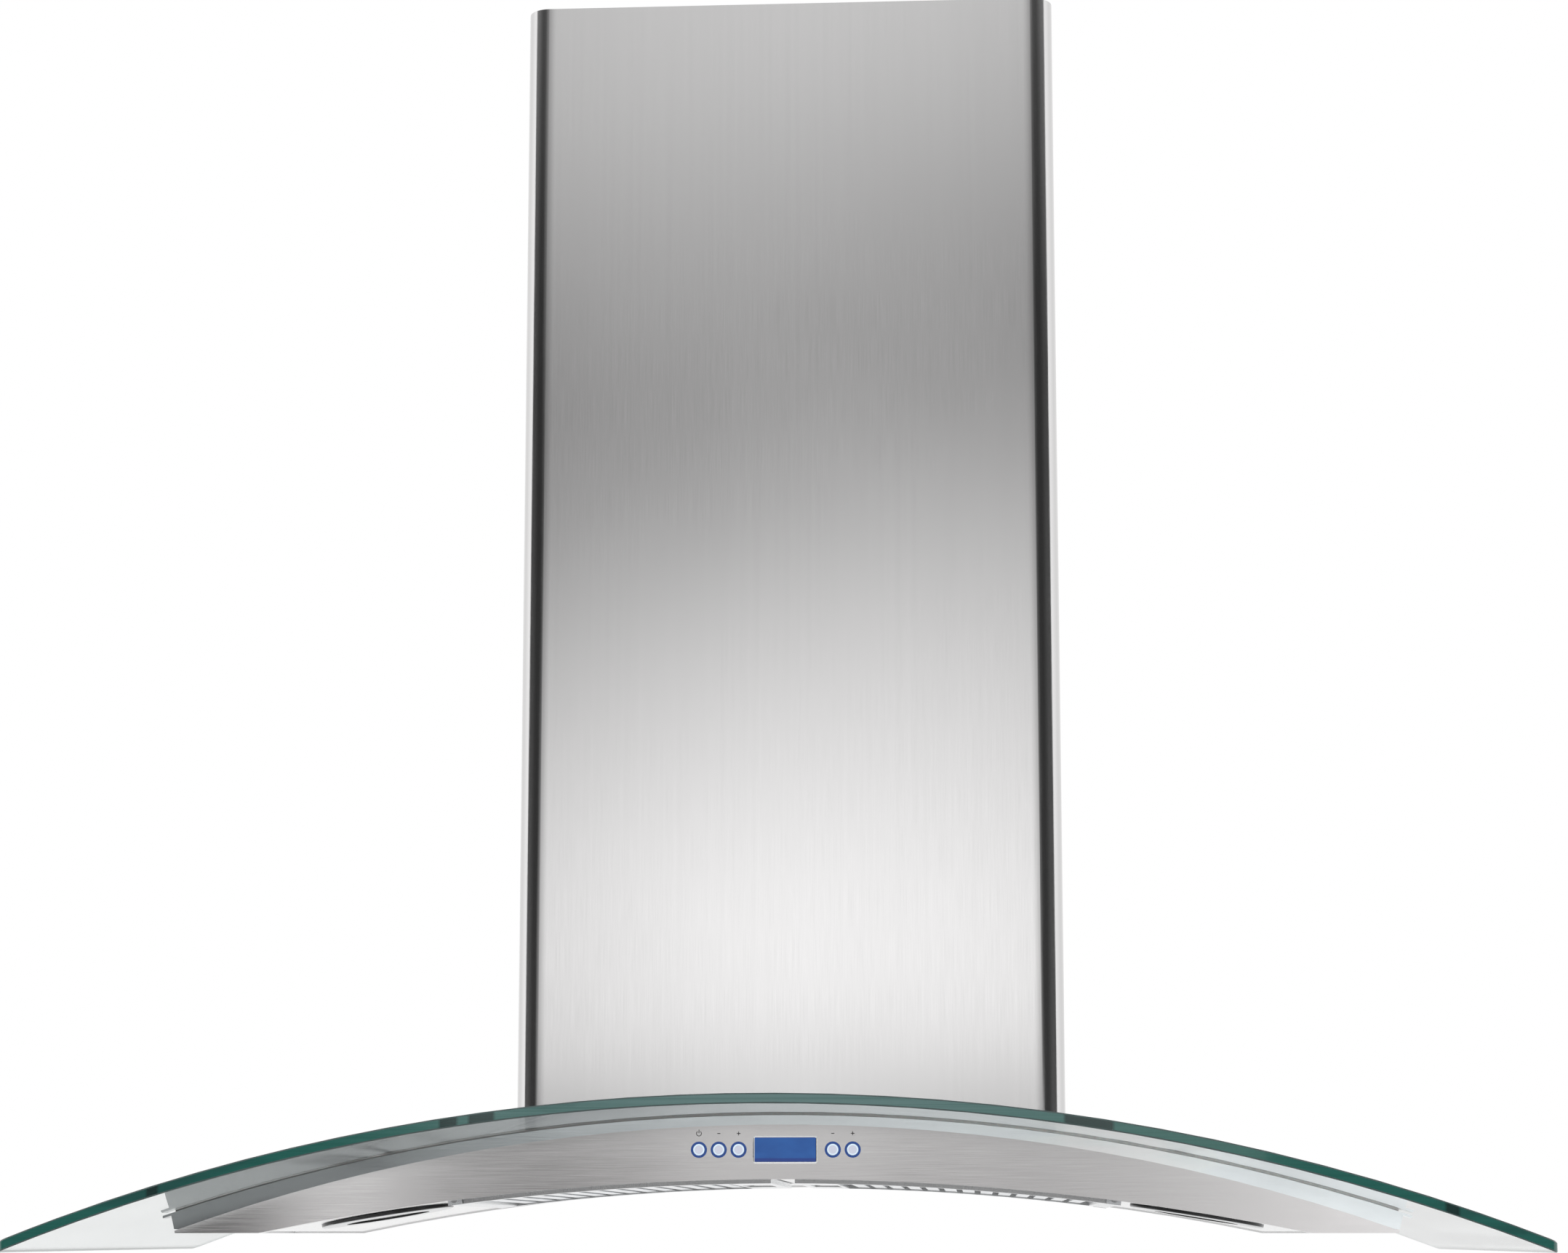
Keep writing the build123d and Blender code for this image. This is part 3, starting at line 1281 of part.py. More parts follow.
# ---- one kind of screw fastens the collar, the junction cover, the motor and the chassis ----
fixing_planes = [
    Plane(origin=(x, y, up(chassis_top + collar_flange)))
    for x, y in [
        (collar_screw_circle * cos(radians(turn)),
         collar_y + collar_screw_circle * sin(radians(turn)))
        for turn in (45, 135, 225, 315)
    ]
]
fixing_planes += [
    Plane(origin=(junction_x + side * cover_screw_spacing[0] / 2,
                  junction_y + end * cover_screw_spacing[1] / 2,
                  up(chassis_top + junction_size[2] + junction_wall)))
    for side in (-1, 1)
    for end in (-1, 1)
]
bracket_face = wheel_plane(bracket_inner + bracket_thickness)
fixing_planes += [
    Plane(origin=bracket_face.from_local_coords(
        (bracket_screw_circle * cos(radians(turn)), bracket_screw_circle * sin(radians(turn)))),
        z_dir=bracket_face.z_dir)
    for turn in (0, 120, 240)
]
fixing_planes += foot_screw_planes

with BuildPart() as fixing_screws:
    with BuildSketch(*fixing_planes):
        Circle(fixing_head_radius)
    extrude(amount=fixing_head_height)
    with BuildSketch(*fixing_planes):
        Circle(fixing_screw_radius)
    extrude(amount=-fixing_screw_length)
save(fixing_screws, "fixing_screws")
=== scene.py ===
import bpy
import json
import math
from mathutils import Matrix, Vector


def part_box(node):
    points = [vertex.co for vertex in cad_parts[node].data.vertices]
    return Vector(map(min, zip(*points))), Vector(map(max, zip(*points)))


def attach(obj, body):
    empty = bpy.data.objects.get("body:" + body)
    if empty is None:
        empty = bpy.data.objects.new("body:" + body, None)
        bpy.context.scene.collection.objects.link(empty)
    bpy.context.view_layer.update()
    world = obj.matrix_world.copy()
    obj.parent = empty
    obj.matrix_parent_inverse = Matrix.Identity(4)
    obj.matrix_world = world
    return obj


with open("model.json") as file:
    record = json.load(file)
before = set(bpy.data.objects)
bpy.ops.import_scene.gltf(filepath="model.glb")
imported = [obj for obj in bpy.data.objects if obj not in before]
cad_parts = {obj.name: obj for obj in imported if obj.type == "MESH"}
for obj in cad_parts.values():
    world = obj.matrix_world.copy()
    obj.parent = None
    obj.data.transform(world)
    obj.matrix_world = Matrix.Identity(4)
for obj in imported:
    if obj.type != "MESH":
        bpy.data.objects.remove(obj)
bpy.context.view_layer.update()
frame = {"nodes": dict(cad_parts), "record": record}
nodes = frame["nodes"]
record = frame["record"]

BODY_BOTTOM = -0.230       # the hood body's bottom edge in the shared frame
FASCIA_FACE = -0.348       # the fascia's outer face, in Y
CHIMNEY_HALF = 0.179       # the lower cover's half width, its depth and its corner radius
CHIMNEY_REACH = 0.255
CHIMNEY_BEND = 0.015
DISPLAY_FLANGE = 0.0018    # the window's hidden rim behind the fascia


# ---- small helpers for shader trees ----------------------------------------------------
class Paint:
    """A material under construction: each call adds one node and returns its output."""

    def __init__(self, name):
        self.material = bpy.data.materials.new(name)
        self.material.use_nodes = True
        self.tree = self.material.node_tree
        self.tree.nodes.clear()
        self.texture_space = self.node("ShaderNodeTexCoord").outputs["Object"]

    def node(self, kind, inputs=None, **settings):
        made = self.tree.nodes.new(kind)
        for name, value in settings.items():
            setattr(made, name, value)
        for name, value in (inputs or {}).items():
            socket = made.inputs[name]
            if isinstance(value, bpy.types.NodeSocket):
                self.tree.links.new(value, socket)
            else:
                socket.default_value = value
        return made

    def stretched(self, scale, turn=(0, 0, 0)):
        return self.node("ShaderNodeMapping", {"Vector": self.texture_space, "Scale": scale,
                                               "Rotation": turn}).outputs["Vector"]

    def noise(self, vector, scale=1.0, detail=3.0, roughness=0.55):
        return self.node("ShaderNodeTexNoise", {"Vector": vector, "Scale": scale, "Detail": detail,
                                                "Roughness": roughness}).outputs["Fac"]

    def cells(self, vector, scale, feature="F1"):
        return self.node("ShaderNodeTexVoronoi", {"Vector": vector, "Scale": scale},
                         feature=feature).outputs

    def remap(self, value, low, high, start=0.0, end=1.0, smooth=False):
        made = self.node("ShaderNodeMapRange", {"Value": value, "From Min": start, "From Max": end,
                                                "To Min": low, "To Max": high})
        made.interpolation_type = "SMOOTHSTEP" if smooth else "LINEAR"
        return made.outputs["Result"]

    def maths(self, operation, a, b=0.0, clamp=False):
        return self.node("ShaderNodeMath", {0: a, 1: b}, operation=operation,
                         use_clamp=clamp).outputs[0]

    def blend(self, share, first, second, kind="MIX"):
        made = self.node("ShaderNodeMix", {0: share, 6: first, 7: second}, data_type="RGBA",
                         blend_type=kind)
        return made.outputs[2]

    def split(self, vector):
        return self.node("ShaderNodeSeparateXYZ", {0: vector}).outputs

    def normal(self):
        return self.node("ShaderNodeNewGeometry").outputs["Normal"]

    def bump(self, height, strength, distance, under=None):
        inputs = {"Height": height, "Strength": strength, "Distance": distance}
        if under is not None:
            inputs["Normal"] = under
        return self.node("ShaderNodeBump", inputs).outputs["Normal"]

    def edges(self, low=0.52, high=0.62):
        """Share of wear along convex edges."""
        pointed = self.node("ShaderNodeNewGeometry").outputs["Pointiness"]
        return self.remap(pointed, 0.0, 1.0, low, high, smooth=True)

    def shader(self, **inputs):
        named = {name.replace("_", " "): value for name, value in inputs.items()}
        return self.node("ShaderNodeBsdfPrincipled", named).outputs[0]

    def finish(self, shader):
        self.node("ShaderNodeOutputMaterial", {"Surface": shader})
        return self.material


def grey(level):
    return (level, level, level, 1.0)


def srgb(r, g, b):
    """Shader colour from the values a picture shows."""
    return tuple((v / 255 / 12.92) if v < 10.4 else ((v / 255 + 0.055) / 1.055) ** 2.4
                 for v in (r, g, b)) + (1.0,)


def tinted(colour, factor, lift=0.0):
    """The same colour made darker or paler."""
    return tuple(min(1.0, v * factor + lift) for v in colour[:3]) + (1.0,)


def ramp_of(paint, value, tones, top_tone):
    """Tone looked up along a table of places and tones."""
    low, high = tones[0][0], tones[-1][0]
    ramp = paint.node("ShaderNodeValToRGB", {0: paint.remap(value, 0.0, 1.0, low, high)})
    stops = ramp.color_ramp.elements
    while len(stops) < len(tones):
        stops.new(0.5)
    for stop, (place, tone) in zip(stops, tones):
        stop.position = (place - low) / (high - low)
        stop.color = grey(tone / top_tone)
    return ramp.outputs[0]


GRAIN = {"X": (30, 3400, 3400), "Y": (3400, 30, 3400), "Z": (3400, 3400, 30)}
STREAKS = {"X": (2.5, 240, 240), "Y": (240, 2.5, 240), "Z": (240, 240, 2.5)}


def brushed_steel(name, colour, roughness, along, streak=0.03, groove=0.03, painted_light=None):
    """Stainless sheet: fine grain and broader streaks along one axis, brighter rubbed edges, and
    the painted light and shade of any factor passed in.
    """
    paint = Paint(name)
    fine = paint.noise(paint.stretched(GRAIN[along]), detail=2.0)
    broad = paint.noise(paint.stretched(STREAKS[along]), detail=4.0)
    cloud = paint.noise(paint.texture_space, scale=5.0, detail=2.0)
    tone = paint.maths("MULTIPLY", paint.remap(fine, 1 - streak, 1 + streak, 0.3, 0.7),
                       paint.remap(broad, 1 - streak, 1 + streak, 0.3, 0.7))
    tone = paint.maths("MULTIPLY", tone, paint.remap(cloud, 0.985, 1.015, 0.3, 0.7))
    tone = paint.maths("ADD", tone, paint.maths("MULTIPLY", paint.edges(), 0.10))
    # painted light and shade: the given factor scales the tone
    if painted_light is not None:
        tone = paint.maths("MULTIPLY", tone, painted_light(paint))
    shade = paint.node("ShaderNodeVectorMath", {0: colour[:3], "Scale": tone}, operation="SCALE")
    rough = paint.remap(fine, roughness - 0.03, roughness + 0.04, 0.3, 0.7)
    rough = paint.maths("ADD", rough, paint.remap(cloud, -0.015, 0.015, 0.3, 0.7), clamp=True)
    relief = paint.bump(fine, groove, 0.00005)
    return paint.finish(paint.shader(Base_Color=shade.outputs[0], Metallic=1.0, Roughness=rough,
                                     Normal=relief))


def cast_metal(name, colour, roughness, scale=900, groove=0.08, metallic=1.0, coat=0.0):
    """Zinc, paint or turned metal with a fine orange-peel grain."""
    paint = Paint(name)
    grain = paint.noise(paint.texture_space, scale=scale, detail=3.0)
    cloud = paint.noise(paint.texture_space, scale=30.0, detail=3.0)
    tone = paint.blend(paint.remap(cloud, 0.0, 0.35, 0.35, 0.65), colour, tinted(colour, 0.82))
    tone = paint.blend(paint.maths("MULTIPLY", paint.edges(), 0.35), tone,
                       tinted(colour, 1.25, 0.03))
    rough = paint.remap(grain, roughness - 0.06, roughness + 0.08, 0.3, 0.7)
    return paint.finish(paint.shader(Base_Color=tone, Metallic=metallic, Roughness=rough,
                                     Coat_Weight=coat, Normal=paint.bump(grain, groove, 0.0002)))


def spangled_zinc(name, colour, roughness):
    """Galvanised sheet: crystals a centimetre across, each with its own tone and gloss."""
    paint = Paint(name)
    crystals = paint.cells(paint.texture_space, 95.0)
    seed = paint.split(crystals["Color"])[0]
    fine = paint.noise(paint.texture_space, scale=700.0)
    tone = paint.blend(paint.remap(seed, 0.0, 1.0), tinted(colour, 0.86), tinted(colour, 1.12))
    tone = paint.blend(paint.maths("MULTIPLY", paint.edges(), 0.3), tone, grey(0.8))
    rough = paint.maths("ADD", paint.remap(seed, roughness - 0.06, roughness + 0.10),
                        paint.remap(fine, -0.03, 0.03, 0.3, 0.7), clamp=True)
    return paint.finish(paint.shader(Base_Color=tone, Metallic=1.0, Roughness=rough,
                                     Normal=paint.bump(fine, 0.05, 0.0002)))


def moulded_plastic(name, colour, roughness, grain=650, relief=0.12, ior=1.46, subsurface=0.0):
    """Moulded plastic: spark-eroded grain, faint flow tone, paler rubbed edges."""
    paint = Paint(name)
    bead = paint.noise(paint.texture_space, scale=grain, detail=2.0, roughness=0.5)
    flow = paint.noise(paint.stretched((9, 9, 26)), detail=3.0)
    tone = paint.blend(paint.remap(flow, 0.0, 0.5, 0.3, 0.7), colour, tinted(colour, 0.85))
    tone = paint.blend(paint.maths("MULTIPLY", paint.edges(), 0.25), tone,
                       tinted(colour, 1.4, 0.03))
    rough = paint.remap(bead, roughness - 0.07, roughness + 0.09, 0.3, 0.7)
    return paint.finish(paint.shader(Base_Color=tone, Roughness=rough, IOR=ior,
                                     Subsurface_Weight=subsurface, Subsurface_Scale=0.002,
                                     Normal=paint.bump(bead, relief, 0.0002)))


def see_through(paint, shader):
    """Lets shadow and diffuse rays pass straight on, as they would through clear glass."""
    path = paint.node("ShaderNodeLightPath").outputs
    share = paint.maths("MAXIMUM", path["Is Shadow Ray"], path["Is Diffuse Ray"])
    clear = paint.node("ShaderNodeBsdfTransparent", {"Color": (0.90, 0.95, 0.935, 1.0)}).outputs[0]
    return paint.node("ShaderNodeMixShader", {0: share, 1: shader, 2: clear}).outputs[0]


# ---- finishes of single pieces -------------------------------------------------------------
GLASS_INDEX = 1.5
# painted shadows of the fixing bushes: stretches in X along the front edge where the polished glass
# is painted nearly black
PAINTED_BUSH_SHADOWS = ((-0.3595, -0.3525), (-0.187, -0.1765), (-0.170, -0.155), (0.171, 0.199),
                  (0.386, 0.394))
STRETCH_FADE = 0.001


def canopy_glass():
    """Float glass: clear faces, a green polished edge with painted shade along its two darker
    arrises and painted shadows of the fixing bushes.
    """
    paint = Paint("canopy_glass")
    up = paint.maths("ABSOLUTE", paint.split(paint.normal())[2])
    across = paint.split(paint.texture_space)
    sideways = paint.maths("ABSOLUTE", across[0])
    drift = paint.noise(paint.stretched((7, 30, 30)), detail=3.0)
    streaks = paint.noise(paint.stretched((2, 40, 900)), detail=2.0)
    green = paint.blend(paint.remap(sideways, 0.0, 1.0, 0.04, 0.30, smooth=True),
                        srgb(92, 124, 122), srgb(38, 98, 89))
    green = paint.blend(paint.remap(drift, 0.0, 0.75, 0.55, 0.70, smooth=True), green,
                        srgb(34, 72, 70))
    green = paint.blend(paint.remap(streaks, 0.0, 0.35, 0.45, 0.65), green, srgb(30, 84, 76))
    # painted shadows of the fixing bushes, nearly black, along the edge
    for start, end in PAINTED_BUSH_SHADOWS:
        begun = paint.remap(across[0], 0.0, 1.0, start - STRETCH_FADE, start + STRETCH_FADE)
        not_over = paint.remap(across[0], 1.0, 0.0, end - STRETCH_FADE, end + STRETCH_FADE)
        inside = paint.maths("MULTIPLY", begun, not_over)
        green = paint.blend(paint.maths("MULTIPLY", inside, 0.8), green, srgb(22, 34, 34))
    # painted shade along the two arrises
    painted_arris_shade = paint.remap(up, 0.0, 1.0, 0.42, 0.50)
    edge_tone = paint.blend(painted_arris_shade, green, srgb(26, 62, 60))
    smudge = paint.noise(paint.texture_space, scale=14.0, detail=4.0)
    face_rough = paint.remap(smudge, 0.0, 0.03, 0.35, 0.75)
    face = paint.shader(Base_Color=(0.82, 0.86, 0.855, 1.0), Roughness=face_rough,
                        IOR=GLASS_INDEX, Transmission_Weight=1.0)
    edge = paint.shader(Base_Color=edge_tone, Roughness=paint.remap(drift, 0.08, 0.2),
                        IOR=GLASS_INDEX, Transmission_Weight=0.15, Coat_Weight=0.4)
    is_face = paint.remap(up, 0.0, 1.0, 0.86, 0.90)
    whole = paint.node("ShaderNodeMixShader", {0: is_face, 1: edge, 2: face}).outputs[0]
    return paint.finish(see_through(paint, whole))


def lamp_glass():
    """Frosted disc of the downlight with a shallow hammered ring pattern."""
    paint = Paint("lamp_glass")
    frost = paint.noise(paint.texture_space, scale=1200.0, detail=2.0)
    dimple = paint.cells(paint.texture_space, 260.0)["Distance"]
    glass = paint.shader(Base_Color=(0.93, 0.95, 0.93, 1.0), IOR=1.48, Transmission_Weight=0.8,
                         Roughness=paint.remap(frost, 0.28, 0.45, 0.3, 0.7),
                         Normal=paint.bump(dimple, 0.3, 0.0006))
    return paint.finish(see_through(paint, glass))


# painted shade: the seal's tone along X, dark at the left-hand end
SEAL_PAINTED_TONES = ((-0.38, 0.05), (-0.20, 0.09), (0.0, 0.16), (0.15, 0.30), (0.38, 0.36))


def painted_shade_seal():
    """Translucent seal with painted shade: painted dark at the left-hand end, paler towards the
    right-hand end.
    """
    paint = Paint("seal_rubber")
    grain = paint.noise(paint.texture_space, scale=420.0, detail=2.0)
    # painted shade: darker towards the left-hand end
    tone = ramp_of(paint, paint.split(paint.texture_space)[0], SEAL_PAINTED_TONES, 1.0)
    tone = paint.blend(paint.remap(grain, 0.0, 0.25, 0.35, 0.65), tone, grey(0.12))
    return paint.finish(paint.shader(Base_Color=tone, Roughness=paint.remap(grain, 0.5, 0.7),
                                     Subsurface_Weight=0.2, Subsurface_Scale=0.002,
                                     Normal=paint.bump(grain, 0.15, 0.0002)))


def display_glass():
    """Blue window: a painted highlight on its bevelled left edge, painted shade in a dark stripe
    along its right edge and foot, a darker strip above its foot.
    """
    low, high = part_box("display_window")
    left, right = low[0] + DISPLAY_FLANGE, high[0] - DISPLAY_FLANGE
    foot, head = low[2] + DISPLAY_FLANGE, high[2] - DISPLAY_FLANGE
    paint = Paint("display_blue")
    across = paint.split(paint.texture_space)
    glow = paint.noise(paint.stretched((60, 60, 120)), detail=2.0)
    tone = paint.blend(paint.remap(glow, 0.0, 1.0, 0.30, 0.70), srgb(28, 74, 140),
                       srgb(34, 84, 152))
    strip = paint.remap(across[2], 1.0, 0.0, foot + 0.0026, foot + 0.0032, smooth=True)
    tone = paint.blend(paint.maths("MULTIPLY", strip, 0.75), tone, srgb(30, 46, 116))
    top = paint.remap(across[2], 0.0, 1.0, head - 0.0013, head - 0.0006, smooth=True)
    tone = paint.blend(paint.maths("MULTIPLY", top, 0.7), tone, srgb(24, 44, 112))
    # painted shade: a dark stripe along the right edge and the foot
    upright = paint.remap(across[0], 0.0, 1.0, right - 0.0011, right - 0.0005, smooth=True)
    level = paint.remap(across[2], 1.0, 0.0, foot + 0.0004, foot + 0.0009, smooth=True)
    painted_edge_shade = paint.maths("MAXIMUM", upright, level)
    tone = paint.blend(paint.maths("MULTIPLY", painted_edge_shade, 0.9), tone, srgb(20, 18, 62))
    # painted highlight along the bevelled left edge
    painted_bevel_highlight = paint.remap(across[0], 1.0, 0.0, left + 0.0005, left + 0.0010, smooth=True)
    tone = paint.blend(painted_bevel_highlight, tone, srgb(236, 240, 250))
    cells = paint.cells(paint.texture_space, 900.0)["Distance"]
    shade = paint.shader(Base_Color=tone, Roughness=paint.remap(cells, 0.16, 0.26), IOR=1.45,
                         Coat_Weight=0.15, Emission_Color=tone, Emission_Strength=0.22)
    return paint.finish(shade)


def button_cap():
    """Pale satin cap with a white lit rim, round each button's own middle."""
    paint = Paint("button_plastic")
    across = paint.split(paint.texture_space)
    height = paint.maths("SUBTRACT", across[2], BUTTON_HEIGHT)
    reach = None
    for place in BUTTONS:
        offset = paint.maths("SUBTRACT", across[0], place)
        squared = paint.maths("ADD", paint.maths("MULTIPLY", offset, offset),
                              paint.maths("MULTIPLY", height, height))
        span = paint.maths("SQRT", squared)
        reach = span if reach is None else paint.maths("MINIMUM", reach, span)
    rim = paint.remap(reach, 0.0, 1.0, 0.00245, 0.0029, smooth=True)
    bead = paint.noise(paint.texture_space, scale=1500.0, detail=2.0)
    tone = paint.blend(paint.remap(bead, 0.0, 0.4, 0.35, 0.65), srgb(206, 206, 222),
                       srgb(190, 190, 212))
    tone = paint.blend(rim, tone, srgb(226, 240, 255))
    return paint.finish(paint.shader(Base_Color=tone, Roughness=paint.remap(bead, 0.22, 0.36),
                                     IOR=1.49, Emission_Color=tone, Emission_Strength=0.12,
                                     Normal=paint.bump(bead, 0.05, 0.0002)))


def circuit_board():
    """Green lacquer over copper tracks."""
    paint = Paint("board_green")
    upright = paint.stretched((1, 1, 1), (1.5708, 0, 0))
    tracks = paint.node("ShaderNodeTexBrick", {"Vector": upright, "Scale": 260.0,
                                               "Mortar Size": 0.06, "Brick Width": 1.9,
                                               "Row Height": 0.45})
    lacquer = paint.noise(paint.texture_space, scale=240.0)
    tone = paint.blend(tracks.outputs["Fac"], srgb(18, 92, 48), srgb(52, 134, 78))
    tone = paint.blend(paint.remap(lacquer, 0.0, 0.3, 0.35, 0.65), tone, srgb(12, 66, 36))
    return paint.finish(paint.shader(Base_Color=tone, Roughness=paint.remap(lacquer, 0.22, 0.4),
                                     Normal=paint.bump(tracks.outputs["Fac"], 0.2, 0.0001)))


def led_board():
    """White board strewn with small yellow chips."""
    paint = Paint("led_board")
    lacquer = paint.noise(paint.texture_space, scale=420.0)
    chips = paint.cells(paint.texture_space, 150.0)["Distance"]
    tone = paint.blend(paint.remap(chips, 1.0, 0.0, 0.18, 0.24), srgb(238, 238, 232),
                       srgb(236, 205, 96))
    tone = paint.blend(paint.remap(lacquer, 0.0, 0.2, 0.35, 0.65), tone, srgb(212, 208, 192))
    return paint.finish(paint.shader(Base_Color=tone, Roughness=paint.remap(lacquer, 0.25, 0.42),
                                     Normal=paint.bump(lacquer, 0.05, 0.0001)))


def painted_bend_shade(paint):
    """Painted shade on the rolled corners of the chimney cover: they are painted darker than its
    flat faces, adding to the dark flags' reflection.
    """
    across = paint.split(paint.texture_space)
    sideways = paint.maths("ABSOLUTE", across[0])
    start = CHIMNEY_HALF - CHIMNEY_BEND
    rising = paint.remap(sideways, 0.0, 1.0, start - 0.0055, start + 0.0025, smooth=True)
    falling = paint.remap(sideways, 1.0, 0.0, start + 0.0035, start + 0.0075, smooth=True)
    outer = paint.remap(sideways, 0.0, 0.22, start + 0.0090, start + 0.0135, smooth=True)
    front = paint.remap(across[1], 1.0, 0.0, -CHIMNEY_REACH + 0.012, -CHIMNEY_REACH + 0.016)
    shade = paint.maths("MAXIMUM", paint.maths("MULTIPLY", paint.maths("MULTIPLY", rising, falling),
                                               0.52), outer)
    return paint.remap(paint.maths("MULTIPLY", shade, front), 1.0, 0.0)


def painted_rim_shade(paint):
    """Painted shade: the upright walls of the lamp bezels are painted darker than their level
    faces.
    """
    level = paint.maths("ABSOLUTE", paint.split(paint.normal())[2])
    return paint.remap(level, 0.06, 1.0, 0.45, 0.75, smooth=True)


def painted_front_shade(paint):
    """Painted shade: faces of the filters that face the front are painted duller than their pressed
    faces.
    """
    return paint.remap(paint.split(paint.normal())[1], 0.42, 1.0, -0.85, -0.60, smooth=True)


# painted reflection: the rail's tone along X, dark at the left-hand end and paler towards the right
RAIL_TOP_TONE = 1.4
RAIL_PAINTED_TONES = ((-0.36, 0.31), (-0.25, 0.38), (-0.13, 0.98), (-0.02, 1.00), (0.18, 1.40),
              (0.36, 1.14))


def painted_rail_reflection(paint):
    """Painted reflection on the rail's satin face: painted paler towards the right-hand end, with a
    faint random cloud.
    """
    across = paint.split(paint.texture_space)
    cloud = paint.noise(paint.stretched((9, 40, 40)), detail=2.0)
    drift = paint.split(ramp_of(paint, across[0], RAIL_PAINTED_TONES, RAIL_TOP_TONE))[0]
    drift = paint.maths("MULTIPLY", drift, RAIL_TOP_TONE)
    return paint.maths("MULTIPLY", drift, paint.remap(cloud, 0.94, 1.06, 0.3, 0.7))


# ---- where the controls sit ---------------------------------------------------------------
BUTTON_NAMES = ("power", "light_down", "light_up", "fan_down", "fan_up")
button_middles = []
for button in BUTTON_NAMES:
    low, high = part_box("button_" + button)
    button_middles.append((low + high) / 2)
BUTTONS = [middle[0] for middle in button_middles]
BUTTON_HEIGHT = button_middles[0][2]

finishes = {
    "canopy_glass": canopy_glass(),
    "seal_rubber": painted_shade_seal(),
    "bush_nylon": moulded_plastic("bush_nylon", grey(0.62), 0.40, subsurface=0.15),
    "cap_chrome": cast_metal("cap_chrome", grey(0.72), 0.10, groove=0.02),
    "screw_steel": cast_metal("screw_steel", srgb(190, 192, 194), 0.28),
    "rail_steel": brushed_steel("rail_steel", srgb(214, 219, 221), 0.15, "X", streak=0.012,
                                groove=0.012, painted_light=painted_rail_reflection),
    "fascia_steel": brushed_steel("fascia_steel", srgb(212, 210, 210), 0.13, "X", streak=0.015,
                                  groove=0.012),
    "body_steel": brushed_steel("body_steel", srgb(208, 208, 208), 0.30, "X"),
    "panel_steel": brushed_steel("panel_steel", srgb(250, 250, 250), 0.28, "X", streak=0.015),
    "filter_steel": brushed_steel("filter_steel", srgb(240, 241, 242), 0.28, "Y", streak=0.015,
                                  painted_light=painted_front_shade),
    "baffle_steel": brushed_steel("baffle_steel", srgb(230, 232, 234), 0.30, "Y",
                                  painted_light=painted_front_shade),
    "handle_chrome": cast_metal("handle_chrome", grey(0.72), 0.12, groove=0.02),
    "bracket_steel": cast_metal("bracket_steel", srgb(188, 190, 192), 0.30),
    "magnet_ferrite": cast_metal("magnet_ferrite", srgb(58, 58, 60), 0.55, metallic=0.4),
    "bezel_steel": brushed_steel("bezel_steel", srgb(214, 215, 216), 0.22, "Y", painted_light=painted_rim_shade),
    "lamp_glass": lamp_glass(),
    "lamp_aluminium": cast_metal("lamp_aluminium", srgb(206, 208, 210), 0.32, scale=500),
    "led_board": led_board(),
    "ring_blue": moulded_plastic("ring_blue", srgb(24, 66, 138), 0.22, relief=0.03, ior=1.49),
    "button_plastic": button_cap(),
    "display_blue": display_glass(),
    "module_plastic": moulded_plastic("module_plastic", srgb(34, 38, 52), 0.42),
    "board_green": circuit_board(),
    "cover_steel": brushed_steel("cover_steel", srgb(224, 223, 223), 0.14, "Z", streak=0.012,
                                 painted_light=painted_bend_shade),
    "galvanised": spangled_zinc("galvanised", srgb(196, 199, 202), 0.34),
    "wheel_steel": spangled_zinc("wheel_steel", srgb(190, 193, 196), 0.30),
    "motor_paint": cast_metal("motor_paint", srgb(38, 38, 40), 0.38, metallic=0.0, coat=0.3,
                              groove=0.2),
    "duct_plastic": moulded_plastic("duct_plastic", srgb(44, 44, 46), 0.46),
    "collar_plastic": moulded_plastic("collar_plastic", srgb(38, 38, 41), 0.44),
    "flap_aluminium": brushed_steel("flap_aluminium", srgb(214, 215, 216), 0.30, "X"),
    "junction_plastic": moulded_plastic("junction_plastic", srgb(196, 198, 200), 0.42),
    "gland_plastic": moulded_plastic("gland_plastic", srgb(92, 94, 97), 0.40),
    "driver_plastic": moulded_plastic("driver_plastic", srgb(232, 231, 226), 0.34),
    "capacitor_case": cast_metal("capacitor_case", srgb(212, 214, 216), 0.24),
}

for subpart in record["subparts"]:
    mesh = nodes[subpart["node"]].data
    for index in range(len(mesh.materials)):
        mesh.materials[index] = finishes[subpart["material_slot"]]
    if not mesh.materials:
        mesh.materials.append(finishes[subpart["material_slot"]])


# ---- pieces made here ---------------------------------------------------------------------
def placed(name, data):
    made = bpy.data.objects.new(name, data)
    bpy.context.scene.collection.objects.link(made)
    return made


def meshed(name, points, faces, material):
    mesh = bpy.data.meshes.new(name)
    mesh.from_pydata([tuple(p) for p in points], [], faces)
    mesh.update()
    mesh.materials.append(material)
    return placed(name, mesh)


def piece(name, points, faces, material, body):
    made = meshed(name, points, faces, material)
    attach(made, body)
    return made


def ring_strip(loops):
    """Faces between closed loops of equally many points, each loop joined to the next."""
    points, faces = [], []
    count = len(loops[0])
    for loop in loops:
        points += loop
    for row in range(len(loops) - 1):
        for i in range(count):
            j = (i + 1) % count
            faces.append((row * count + i, row * count + j, (row + 1) * count + j,
                          (row + 1) * count + i))
    return points, faces


def rounded_outline(half_x, half_z, radius, steps=6):
    """Points of a rounded rectangle round the origin, in X and Z."""
    points = []
    for sx, sz, start in ((1, 1, 0), (-1, 1, 90), (-1, -1, 180), (1, -1, 270)):
        for k in range(steps + 1):
            a = math.radians(start + 90 * k / steps)
            points.append((sx * (half_x - radius) + radius * math.cos(a),
                           sz * (half_z - radius) + radius * math.sin(a)))
    return points


